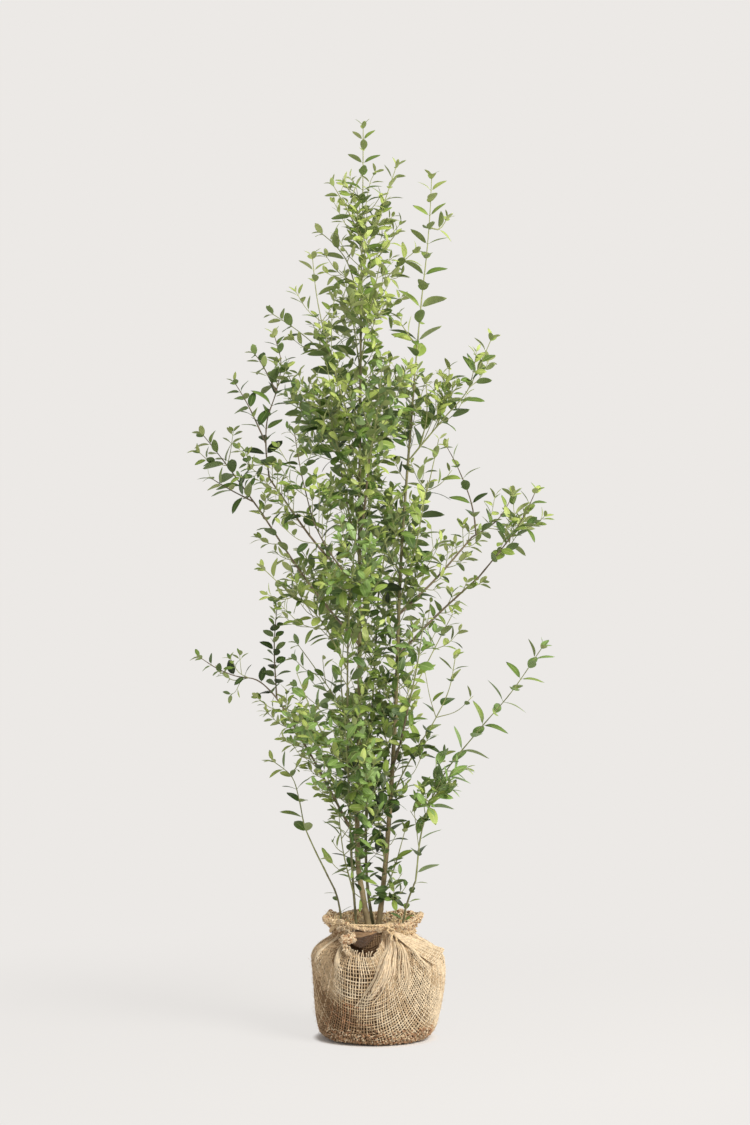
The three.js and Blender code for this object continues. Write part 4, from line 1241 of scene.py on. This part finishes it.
def openMesh(theta, s):
    # pulls threads away from the middle of the mesh
    middle = math.radians(mesh["angle"])
    across = wrapped(theta - middle) * s
    along = s - meshAt
    near = np.exp(-(across / (mesh["across"] * mesh["wide"])) ** 2 - (along / mesh["up"]) ** 2)
    return (middle + across * (1 + mesh["wider"] * near) / s,
            s + along * mesh["taller"] * near)


def inMesh(places):
    away = (places[:, ::2] - mesh["middle"]) / mesh["halves"]
    return ((away**2).sum(1) < 1) & (places[:, 1] < frontFrom)


# the collar tone is brighter than the cloth itself: painted light, for the nubs of the free edge and
# inside the collar, which lies in the crown's shade
clothTones = [("pale", (226, 206, 174)), ("tan", (200, 174, 138)), ("brown", (146, 116, 82)),
              ("rust", (178, 134, 96)), ("collar", (244, 216, 170)), ("umber", (80, 57, 36))]
# the umber tone is painted shade, for the hem fold inside the tear
pale, tan, brown, rust, litCream, umber = range(len(clothTones))  # numbers of the tones
clothFinishes = [makeFinish(name + "_jute", colour, 0.85, vary=0.18, patch=130, bump=0.5,
                            grain=1500, sheen=0.2, specular=0.2) for name, colour in clothTones]


# how light the cloth's tone is: lighter towards the lamp, which is painted light; paler on its pleats'
# ridges and darker in their grooves, which is painted light and shade; darker at its foot; and darker
# low on the shaded left, which is painted shade
clothLight = dict(middle=0.5, side=0.22, lit=-45, patches=0.1, pleat=0.05, foot=0.22,
                  footTo=(8, 52), stain=0.4, stainAt=-124, stainAcross=30, stainTo=(55, 100),
                  paleOver=0.6, tanOver=0.3, rusty=0.3, rustOver=204, rustUnder=26)


def toneOf(theta, z, jitter, draw):
    rule = clothLight
    # the dark patch low at the left is painted shade, on the side away from the lamp; rust tones may
    # fall in it as well as at the collar and the foot
    fromLeftShade = np.degrees(wrapped(theta)) - rule["stainAt"]
    stain = np.exp(-fromLeftShade**2 / rule["stainAcross"] ** 2) * (1 - smoothstep(z, *rule["stainTo"]))
    # painted light and shade: lighter towards the lamp and on pleat ridges, darker in pleat grooves
    light = rule["middle"] + rule["side"] * np.cos(theta - math.radians(rule["lit"])) \
        + rule["patches"] * np.sin(5 * theta + z / 17)
    light = light - rule["foot"] * (1 - smoothstep(z, *rule["footTo"])) - rule["stain"] * stain
    light = light + rule["pleat"] * pleatAt(theta, z) + jitter
    tone = np.where(light > rule["paleOver"], pale, np.where(light > rule["tanOver"], tan, brown))
    rustyPlaces = (z > rule["rustOver"]) | (z < rule["rustUnder"]) | (stain > rule["stain"])
    return np.where((draw < rule["rusty"]) & rustyPlaces & (tone != pale), rust, tone)


def runsOf(kept):
    # where each unbroken run of kept points begins and ends
    edges = np.flatnonzero(np.diff(np.concatenate([[0], kept.astype(int), [0]])))
    return [(a, b) for a, b in zip(edges[::2], edges[1::2]) if b - a >= weave["shortest"]]


def addThread(bundle, theta, s, offsets, radii, jitter, draw):
    # a thread on the cloth, cut where the tear is
    places, out = clothAt(theta, s, offsets)
    places[:, 2] = np.maximum(places[:, 2], radii + 0.1)
    looks = toneOf(theta, places[:, 2], jitter, draw())
    for a, b in runsOf(~insideTear(places)):
        first = len(bundle.looks)
        addTube(bundle, places[a:b], radii[a:b], weave["sides"], normals=out[a:b])
        bundle.looks[first] = np.repeat(looks[a:b - 1], weave["sides"])


draw = seededRandom(seeds["weave"])
threads = Bundle()
count = int(rimAt / weave["pitch"]) + 2
steps = np.arange(-count, count + 1)
for family in (0, 1):
    for i in range(-count, count + 1):
        jitter, thick = weave["tone"] * (draw() - 0.5), weave["radius"] * between(weave["thick"], draw)
        fixed = (i + weave["uneven"] * (draw() - 0.5)) * weave["pitch"]
        sway = fixed + weave["sway"] * np.sin(steps / weave["swayLength"] + fullTurn * draw())
        along = steps * weave["pitch"]
        u, v = (sway, along) if family == 0 else (along, sway)
        s, theta = np.hypot(u, v), np.arctan2(v, u) + math.radians(weave["turn"])
        theta, s = openMesh(theta, s)
        ends = rimAt + weave["endWave"] * math.sin(weave["endTurn"] * i) - weave["endShort"]
        over = np.where((steps + i + family) % 2 == 0, 1, -1) * weave["over"]
        radii = thick * (1 + weave["slub"] * np.sin(steps * weave["slubLength"] + fullTurn * draw()))
        for a, b in runsOf((s > weave["innermost"]) & (s < ends)):
            addThread(threads, theta[a:b], s[a:b], over[a:b], radii[a:b], jitter, draw)

rule = pleatThread
for number, pleat in enumerate(pleats):
    heights = np.arange(pleat["heights"][-1], pleat["heights"][0], -rule["step"])
    s = sideSteps[np.searchsorted(sideHeights, heights)]
    angles = np.interp(heights, pleat["heights"], pleat["angles"])
    for k in range(pleat["threads"]):
        lane = (k - (pleat["threads"] - 1) / 2) * rule["apart"]
        fanned = rule["fan"][0] + rule["fan"][1] * smoothstep(-heights, *rule["fanFrom"])
        spread = lane * fanned + rule["wander"] * np.sin(heights / rule["wanderLength"] + k)
        theta = angles + spread / rule["away"]
        cut = int(len(heights) * (1 - rule["shorter"] * draw()))
        # every third thread of a ridged pleat lies low and darker: painted shade between the ridges
        if number < rule["ridged"]:
            proud, tone = rule["ridges"][k % 3]
        else:
            proud, tone = rule["proud"], rule["tone"] * draw()
        addThread(threads, theta[:cut], s[:cut], np.full(cut, proud),
                  np.full(cut, between(rule["thick"], draw)), tone, draw)
threads.make("burlap_weave", clothFinishes, "burlap", ["burlap_wrap"])

# behind the threads the same cloth, plain and painted dark as the shade in the gaps between them, closed
# but for the mesh and the tear
behind = dict(rows=110, columns=240, off=-2.2, short=1.5, collarFrom=200)
places, _ = clothGrid(behind["rows"], behind["columns"], rimAt - behind["short"], behind["off"])
flat = places.reshape(-1, 3)
hole = (insideTear(flat) | inMesh(flat)).reshape(places.shape[:2])
closed = ~(hole[:-1, :-1] | hole[1:, 1:])
collar = places[:-1, :-1, 2] > behind["collarFrom"]
backing = Bundle()
for look, part in enumerate((closed & ~collar, closed & collar)):
    backing.add(flat, gridFaces(behind["rows"], behind["columns"], part), look)
backFinishes = [
    makeFinish("shaded_jute", (76, 55, 35), 0.9, vary=0.3, patch=70, bump=0.8, grain=1100),
    makeFinish("collar_jute", (206, 166, 124), 0.9, vary=0.25, patch=120, bump=0.9, grain=1100),
]
backing.make("burlap_backing", backFinishes, "burlap", ["burlap_wrap"])


# Soil, lumpy where the tear, the mesh and the neck show it

soil = dict(off=-8.5, level=198, rows=70, columns=200, reach=318, lowest=6, rings=26, lumps=1.3,
            topLumps=1.1, rise=2.5)
crumbs = dict(count=420, onTop=200, size=(1.2, 2.6), spread=62, above=1.5, angle=-107, across=62,
              heights=(90, 112), out=1.2, stretch=((0.8, 0.5), (0.8, 0.5), (0.7, 0.4)))


def lumpy(places, size):
    x, y, z = places[..., 0], places[..., 1], places[..., 2]
    return size * (np.sin(x / 3.1 + np.sin(y / 4.3) * 2) * np.sin(y / 3.7 + 1.3 * np.sin(z / 3.9))
                   + 0.6 * np.sin(x / 1.7 + z / 2.3) * np.sin(y / 1.9 - z / 2.9))


soilBundle = Bundle()
places, out = clothGrid(soil["rows"], soil["columns"], soil["reach"], soil["off"])
places[..., 2] = np.maximum(places[..., 2], soil["lowest"])
places = places + out * lumpy(places, soil["lumps"])[..., None]
soilBundle.add(places.reshape(-1, 3), gridFaces(soil["rows"], soil["columns"]))
radii = np.linspace(0, 1, soil["rings"])
edge = places[-1]
centre = np.array([ball["shift"], 0, soil["level"]])
top = centre + (edge[None] - centre) * radii[:, None, None]
top[..., 2] = soil["level"] + lumpy(top, soil["topLumps"]) + soil["rise"] * (1 - radii[:, None])
top[-1] = edge
soilBundle.add(top.reshape(-1, 3), gridFaces(soil["rings"], soil["columns"]))
crumb = np.array([(1, 0, 0), (-1, 0, 0), (0, 1, 0), (0, -1, 0), (0, 0, 1), (0, 0, -1)], float)
crumbFaces = [(0, 2, 4), (2, 1, 4), (1, 3, 4), (3, 0, 4), (2, 0, 5), (1, 2, 5), (3, 1, 5), (0, 3, 5)]
draw = seededRandom(seeds["crumbs"])
for i in range(crumbs["count"]):
    size = crumbs["size"][0] + crumbs["size"][1] * draw() ** 2
    if i < crumbs["onTop"]:
        angle, distance = draw() * fullTurn, crumbs["spread"] * math.sqrt(draw())
        place = np.array([distance * math.cos(angle) + ball["shift"], distance * math.sin(angle),
                          soil["level"] + crumbs["above"]])
    else:
        angle = math.radians(crumbs["angle"] + crumbs["across"] * (draw() - 0.5))
        at = stepAt(between(crumbs["heights"], draw))
        place = clothAt(angle, at, soil["off"] + crumbs["out"])[0]
    stretch = np.array([between(pair, draw) for pair in crumbs["stretch"]])
    soilBundle.add(place + crumb * size * stretch, crumbFaces)
soilFinish = makeFinish("clay_soil", (82, 60, 40), 0.95, vary=0.4, patch=160, bump=0.9, grain=900,
                        depth=0.8, specular=0.15)
soilBundle.make("soil", [soilFinish], "soil", ["soil_ball"])


# Trimmings of the cloth: the nubby free edge, threads across the tear, the fringe and hem below
# and inside it, its crumpled lip, the loose corner and stray fibres

trim = Bundle()


def addRope(bundle, path, radius, plies, plyRadius, turnsPerMetre, look, step=1.8, sides=5,
            phase=0.0):
    # plies twisted round one another along a path
    curve = Curve(path)
    count = max(4, int(curve.length / step))
    places = curve.at(np.linspace(0, 1, count))
    _, normals, across = framesAlong(places)
    twist = np.linspace(0, curve.length * metres * turnsPerMetre * 2 * math.pi, count)
    for k in range(plies):
        angle = twist + 2 * math.pi * k / plies + phase
        wound = places + (normals * np.cos(angle)[:, None] + across * np.sin(angle)[:, None]) * radius
        addTube(bundle, wound, plyRadius, sides, look, tip=True)


def addLoop(bundle, place, out, size, look, draw, thick):
    # a little curl of yarn
    side = unit(np.cross(out, offCentre(draw)))
    angle = np.linspace(0, math.pi * (1.1 + 0.5 * draw()), 6)
    arc = place + np.outer(np.sin(angle) * size, out) \
        + np.outer((1 - np.cos(angle)) * size * 0.6, side)
    addTube(bundle, arc, thick * (0.85 + 0.5 * draw()), 4, look)


rimRope = dict(rings=220, below=1.5, waves=11, off=0.3, radius=1.9, twist=60, step=2.6)
angles = np.linspace(-math.pi, math.pi, rimRope["rings"])
rimLine, _ = clothAt(angles, rimAt - rimRope["below"] - 1.5 * np.sin(angles * rimRope["waves"]),
                     rimRope["off"])
addRope(trim, rimLine, rimRope["radius"], 3, rimRope["radius"], rimRope["twist"], tan,
        step=rimRope["step"])

# nubs of yarn: on the free edge, inside it at the back, on the crumpled lump by the tear, and
# along the foot
nubs = dict(
    edge=dict(count=2300, above=1.5, inner=26, front=14, outer=32, bunched=1.3, innerOff=-2.4,
              off=0.3, lift=0.35, frontFewer=0.55, frontSize=(1.6, 2.0), size=(2.0, 2.0),
              thick=0.95, tones=(pale, pale, litCream, litCream, tan, pale, rust, rust, tan)),
    back=dict(count=1100, around=(-0.08, 1.16), reach=(54, 26), height=(203, 19), bunched=1.2,
              size=(2.6, 2.4), thick=0.95 * 1.15, tones=(litCream, litCream, litCream, pale, rust)),
    lump=dict(count=190, middle=(-52, -89, 197), halves=(15, 7, 8), size=(1.8, 1.6), thick=1.05,
              tones=(pale, pale, rust, tan)),
    foot=dict(count=420, angles=(-150, 130), heights=(5, 26), bunched=1.5, off=0.5,
              size=(1.4, 1.5), thick=0.8, tones=(rust, rust, pale, tan, brown)),
)
nubBundle = Bundle()
draw = seededRandom(seeds["trim"])
rule = nubs["edge"]
for i in range(rule["count"]):
    angle = draw() * 2 * math.pi
    inner = i % 5 < 2
    front = atFront(angle + 0.35) > 0.3
    band = rule["inner" if inner else "front" if front else "outer"]
    s = rimAt + rule["above"] - band * draw() ** rule["bunched"]
    place, out = clothAt(angle, s, rule["innerOff" if inner else "off"])
    tone = pick(rule["tones"], draw)
    away = unit(out * (-1 if inner else 1) + rule["lift"] * up * draw())
    if front and draw() < rule["frontFewer"]:
        continue
    size = between(rule["frontSize" if front else "size"], draw)
    addLoop(nubBundle, place, away, size, tone, draw, rule["thick"])
# the nubs inside the collar at the back are mostly in the cream collar tone, painted light against the
# crown's shade
rule = nubs["back"]
for i in range(rule["count"]):
    angle = math.pi * between(rule["around"], draw)
    share = draw()
    reach = rule["reach"][0] + rule["reach"][1] * share
    height = rule["height"][0] + rule["height"][1] * share ** rule["bunched"]
    place = np.array([reach * math.cos(angle) + ball["shift"], reach * math.sin(angle), height])
    tone = pick(rule["tones"], draw)
    away = unit(up + np.array([-math.cos(angle), -math.sin(angle), 0]) * draw())
    addLoop(nubBundle, place, away, between(rule["size"], draw), tone, draw, rule["thick"])
rule = nubs["lump"]
for i in range(rule["count"]):
    out = unit(np.array([draw() - 0.5, -0.6 * draw() - 0.1, draw() - 0.5]))
    addLoop(nubBundle, rule["middle"] + out * rule["halves"], out, between(rule["size"], draw),
            pick(rule["tones"], draw), draw, rule["thick"])
rule = nubs["foot"]
for i in range(rule["count"]):
    angle = math.radians(between(rule["angles"], draw))
    height = rule["heights"][0] + rule["heights"][1] * draw() ** rule["bunched"]
    place, out = clothAt(angle, stepAt(height), rule["off"])
    addLoop(nubBundle, place, out, between(rule["size"], draw), pick(rule["tones"], draw), draw,
            rule["thick"])
nubBundle.make("burlap_nubs", clothFinishes, "burlap", ["burlap_wrap"])

# a few threads still cross the tear, some from side to side and some upright
crossing = dict(across=7, left=[(-34, -88, 199), (-22, -86, 173)],
                right=[(13, -92, 205), (7, -96, 187)], sag=5, radius=0.45,
                upright=12, top=[(-30, -88, 199), (13, -91, 206)],
                middle=[(-27, -90, 188), (13, -94, 196)],
                bottom=[(-24, -94, 176), (10, -99, 190)], uprightRadius=0.4)


def alongEdge(key, w):
    start, end = np.array(crossing[key], float)
    return start + (end - start) * w


for k in range(crossing["across"]):
    w = k / (crossing["across"] - 1)
    share = np.linspace(0, 1, 9)
    line = np.outer(1 - share, alongEdge("left", w)) + np.outer(share, alongEdge("right", w))
    line[:, 2] -= crossing["sag"] * np.sin(share * math.pi) * (0.5 + w)
    addTube(trim, line, crossing["radius"], 3, brown)
for k in range(crossing["upright"]):
    w = (k + 0.5) / crossing["upright"]
    line = [alongEdge(key, w) for key in ("top", "middle", "bottom")]
    addTube(trim, line, crossing["uprightRadius"], 3, brown)

# the mesh's own threads end in a fringe at the foot of the tear
fringe = dict(foot=[(-57, -93, 180), (-46, -99, 172), (-32, -104, 165), (-19, -106, 164),
                    (-8, -105, 168)], count=13, length=(7, 7))
for k in range(fringe["count"]):
    place = Curve(fringe["foot"]).at((k + 0.5) / fringe["count"])
    length = between(fringe["length"], draw)
    lean = np.array([0.5 * (draw() - 0.5), 0.25 - 0.5 * draw(), 1])
    bend = np.array([0.8 * (draw() - 0.5), -0.5 * draw(), 0.5])
    knee = place + unit(lean) * length * 0.6
    end = np.array([place - (0, -1, 5), place, knee, knee + unit(bend) * length * 0.5])
    addTube(trim, Curve(end).at(np.linspace(0, 1, 7)), 1.05, 5, pale, tip=True)

# inside the tear the cloth's own hem hangs as a fold in shade, painted dark in umber as that shade, with
# four brown rows in its upper half
hem = dict(top=[(-52, -80, 210), (-26, -82, 212), (4, -78, 212)],
           middle=[(-48, -89, 199), (-26, -93, 199), (3, -87, 206)],
           bottom=[(-46, -92, 190), (-26, -96, 183), (-10, -92, 195), (3, -87, 203)],
           rows=13, places=24, ripple=0.8, brownRows=range(2, 6))
share = np.linspace(0, 1, hem["places"])[::2]
topLine, middleLine, bottomLine = (Curve(hem[key]).at(share) for key in ("top", "middle", "bottom"))
for k in range(hem["rows"]):
    w = k / (hem["rows"] - 1)
    line = topLine * (1 - w) ** 2 + middleLine * 2 * w * (1 - w) + bottomLine * w**2
    line[:, 1] += hem["ripple"] * np.sin(share * 16 + 1.2 * k)
    addTube(trim, line, 1.35, 4, brown if k in hem["brownRows"] else umber)
addRope(trim, hem["bottom"], 1.1, 3, 1.0, 60, umber)

lip = dict(path=[(-70, -52, 211), (-62, -66, 214), (-50, -75, 210), (-41, -83, 203), (-48, -88, 194),
                 (-58, -89, 186), (-55, -99, 176), (-49, -106, 170)], curls=150, spread=5, pale=0.75)
addRope(trim, lip["path"], 2.3, 3, 1.7, 55, pale)
lipLine = Curve(lip["path"])
for i in range(lip["curls"]):
    place = lipLine.at(draw()) + np.array([draw() - 0.5, -draw(), draw() - 0.5]) * lip["spread"]
    addLoop(trim, place, unit(np.array([draw() - 0.5, -1, draw() - 0.2])), 1.8 + 2.2 * draw(),
            pale if draw() < lip["pale"] else tan, draw, 0.9)

# the loose corner, woven between its top and its lower edge
flap = dict(top=[(31, -66, 207), (59, -60, 195), (97, -48, 180), (126, -35, 169)],
            bottom=[(35, -73, 201), (63, -80, 179), (89, -84, 161), (106, -77, 149)],
            rows=15, columns=24, bulge=4, bulgeTo=1.6, over=0.7, outward=(0.55, -0.8, 0.1),
            overWay=(0.5, -0.8, 0.2), corner=(118, -54, 160))
topEdge, lowEdge = Curve(flap["top"]), Curve(flap["bottom"])


def addFlapThread(share, w, over, radius, look):
    share, w = np.broadcast_arrays(np.atleast_1d(share), w)
    line = topEdge.at(share) * (1 - w[:, None]) + lowEdge.at(share) * w[:, None]
    bulge = flap["bulge"] * np.sin(w * math.pi) * np.sin(share * math.pi / flap["bulgeTo"])
    line = line + np.outer(bulge, unit(flap["outward"])) \
        + np.outer(over * flap["over"], unit(flap["overWay"]))
    addTube(trim, line, radius, 4, look)


rows, columns = flap["rows"], flap["columns"]
for k in range(rows):
    addFlapThread(np.linspace(0, 1, columns), k / (rows - 1), (-1.0) ** (np.arange(columns) + k), 1.15,
                  pale if k % 3 else tan)
for j in range(1, columns):
    addFlapThread(j / (columns - 1), np.linspace(0, 1, rows), -(-1.0) ** (np.arange(rows) + j), 1.1,
                  pale if j % 4 else tan)
addRope(trim, flap["top"], 1.5, 3, 1.3, 60, pale)
addRope(trim, [topEdge.at(1), flap["corner"], lowEdge.at(1)], 1.0, 3, 1.0, 60, pale)

hairs = dict(count=900, lowest=100, off=1.4, length=(4, 9), radius=0.16)
for i in range(hairs["count"]):
    angle = draw() * 2 * math.pi
    s = hairs["lowest"] + (rimAt - hairs["lowest"]) * draw()
    place, out = clothAt(angle, s, hairs["off"])
    side = unit(np.cross(out, offCentre(draw)))
    length = between(hairs["length"], draw)
    hair = np.array([place, place + (out * 0.25 + side * 0.3) * length,
                     place + (out * (0.2 + 0.5 * draw()) + side * 0.7) * length])
    hair[:, 2] = np.maximum(hair[:, 2], 0.5)
    addTube(trim, hair, hairs["radius"], 3, pale)
trim.make("burlap_trim", clothFinishes, "burlap", ["burlap_wrap"])


# Twine: two turns round the neck, high at the front left, and a knot with two short ends

twine = dict(level=199, ply=1.3, wound=1.15, twist=85, off=1.4, rings=60, step=2.2,
             liftFrom=(-175, -140), liftTo=(-72, -34), knotHalves=(5.5, 2.5, 4.2),
             knotUneven=0.25, knotWound=0.9, knotPly=1.15, endPly=1.1)
# each turn round the neck: where it leaves and meets the knot, its angles, lift and climb
twineTurns = [
    dict(leaves=(2, 1, 3), meets=(-4, -2, 4), angles=(-78, -430), lift=22, climb=2.5, phase=0.0),
    dict(leaves=(3, 2, -2), meets=(-2, 0, -3), angles=(-60, 286), lift=17, climb=-1.5, phase=1.5),
]
twineEnds = [[(2, -3, -2), (9, -8, -9), (12, -10, -20), (18, -12, -28)],
             [(-1, -3, -2), (2, -9, -8), (1, -12, -17)]]


def twineRound(fromAngle, toAngle, lift, climb):
    angles = np.radians(np.linspace(fromAngle, toAngle, twine["rings"]))
    degrees = np.degrees(wrapped(angles))
    raised = lift * (smoothstep(degrees, *twine["liftFrom"])
                     * (1 - smoothstep(degrees, *twine["liftTo"])))
    places, _ = clothAt(angles, stepAt(twine["level"] + raised), twine["off"] + twine["ply"] * 2)
    places[:, 2] = twine["level"] + raised + climb * np.linspace(0, 1, twine["rings"])
    return places


cord = Bundle()
knot = np.array([27.0, -84.0, 211.0])
for turn in twineTurns:
    places = twineRound(*turn["angles"], turn["lift"], turn["climb"])
    addRope(cord, np.vstack([[knot + turn["leaves"]], places, [knot + turn["meets"]]]),
            twine["wound"], 2, twine["ply"], twine["twist"], 0, step=twine["step"],
            phase=turn["phase"])
angle = np.linspace(0, 4 * math.pi, 40)
wide, deep, tall = twine["knotHalves"]
loops = knot + np.stack([wide * np.cos(angle) * (1 + twine["knotUneven"] * np.cos(angle * 1.5)),
                         -deep - deep * np.sin(angle * 1.5),
                         tall * np.sin(angle)], 1)
addRope(cord, loops, twine["knotWound"], 2, twine["knotPly"], twine["twist"], 0, step=1.6)
for path in twineEnds:
    addRope(cord, knot + np.array(path), twine["knotWound"], 2, twine["endPly"], twine["twist"], 0)
twineFinish = makeFinish("jute_twine", (218, 192, 150), 0.8, vary=0.2, patch=200, bump=0.6,
                         grain=1800, sheen=0.2)
cord.make("neck_twine", [twineFinish], "twine", ["twine"])
print("root ball made")


# Floor, light and camera

# the floor's tone by distance: under the ball only the lamp's real shading, then a glow in the room's
# tone, painted light that washes out most of the cast shadow, and past the plant it turns fully into the
# room's tone, which is plain at eye level and darker overhead
studio = dict(
    tone=(236, 233, 230), floorTone=(244, 243, 242), floorRadius=12.0, floorSides=96,
    shadow=(0.106, 0.122, 0.0, 1.0), fade=(0.5, 1.5, 0.86, 1.0), overhead=(0.3, 0.6, 1.0, 0.36),
)
keyLight = dict(place=(2.2, -2.4, 3.0), target=(0, 0, 0.8), size=1.8, power=182,
                colour=(1, 0.97, 0.92))
lens = dict(place=(-0.0019, -5.0, 0.89), length=85.3, sensor=36)


def makeFloor():
    material = bpy.data.materials.new("studio_floor")
    material.use_nodes = True
    nodes, links = material.node_tree.nodes, material.node_tree.links
    shader = nodes["Principled BSDF"]
    shader.inputs["Base Color"].default_value = (*linear(studio["floorTone"]), 1)
    shader.inputs["Roughness"].default_value = 0.9
    shader.inputs["Specular IOR Level"].default_value = 0.1
    place = nodes.new("ShaderNodeTexCoord")
    reach = nodes.new("ShaderNodeVectorMath")
    reach.operation = "LENGTH"
    glow = nodes.new("ShaderNodeMath")
    glow.operation = "MULTIPLY"
    # the glow is painted light: it washes out the cast shadow on the floor
    far = nodes.new("ShaderNodeEmission")
    far.inputs["Color"].default_value = (*linear(studio["tone"]), 1)
    blend = nodes.new("ShaderNodeMixShader")
    links.new(place.outputs["Object"], reach.inputs[0])
    for k, key in enumerate(("shadow", "fade")):
        step = addRange(nodes, *studio[key])
        links.new(reach.outputs["Value"], step.inputs["Value"])
        links.new(step.outputs["Result"], glow.inputs[k])
    links.new(glow.outputs["Value"], blend.inputs[0])
    links.new(shader.outputs[0], blend.inputs[1])
    links.new(far.outputs[0], blend.inputs[2])
    links.new(blend.outputs[0], nodes["Material Output"].inputs["Surface"])
    bpy.ops.mesh.primitive_circle_add(vertices=studio["floorSides"], radius=studio["floorRadius"],
                                      fill_type="NGON", location=(0, 0, 0))
    floor = bpy.context.object
    floor.name = "floor"
    floor.data.materials.append(material)


makeFloor()

lamp = bpy.data.lights.new("key_light", "AREA")
lamp.size = keyLight["size"]
lamp.energy = keyLight["power"]
lamp.color = keyLight["colour"]
lampHolder = bpy.data.objects.new("key_light", lamp)
lampHolder.location = keyLight["place"]
away = mathutils.Vector(keyLight["target"]) - mathutils.Vector(keyLight["place"])
lampHolder.rotation_euler = away.to_track_quat("-Z", "Y").to_euler()
bpy.context.scene.collection.objects.link(lampHolder)

world = bpy.context.scene.world or bpy.data.worlds.new("studio")
bpy.context.scene.world = world
world.use_nodes = True
skyNodes, skyLinks = world.node_tree.nodes, world.node_tree.links
background = skyNodes["Background"]
background.inputs["Color"].default_value = (*linear(studio["tone"]), 1)
direction = skyNodes.new("ShaderNodeTexCoord")
height = skyNodes.new("ShaderNodeSeparateXYZ")
dimming = addRange(skyNodes, *studio["overhead"])
skyLinks.new(direction.outputs["Generated"], height.inputs["Vector"])
skyLinks.new(height.outputs["Z"], dimming.inputs["Value"])
skyLinks.new(dimming.outputs["Result"], background.inputs["Strength"])
bpy.context.scene.view_settings.view_transform = "Standard"

camera = bpy.data.cameras.new("camera")
camera.lens = lens["length"]
camera.sensor_width = lens["sensor"]
camera.sensor_fit = "AUTO"
eye = bpy.data.objects.new("camera", camera)
eye.location = lens["place"]
eye.rotation_euler = (math.pi / 2, 0, 0)
bpy.context.scene.collection.objects.link(eye)
bpy.context.scene.camera = eye
print("stage, lights and camera set")
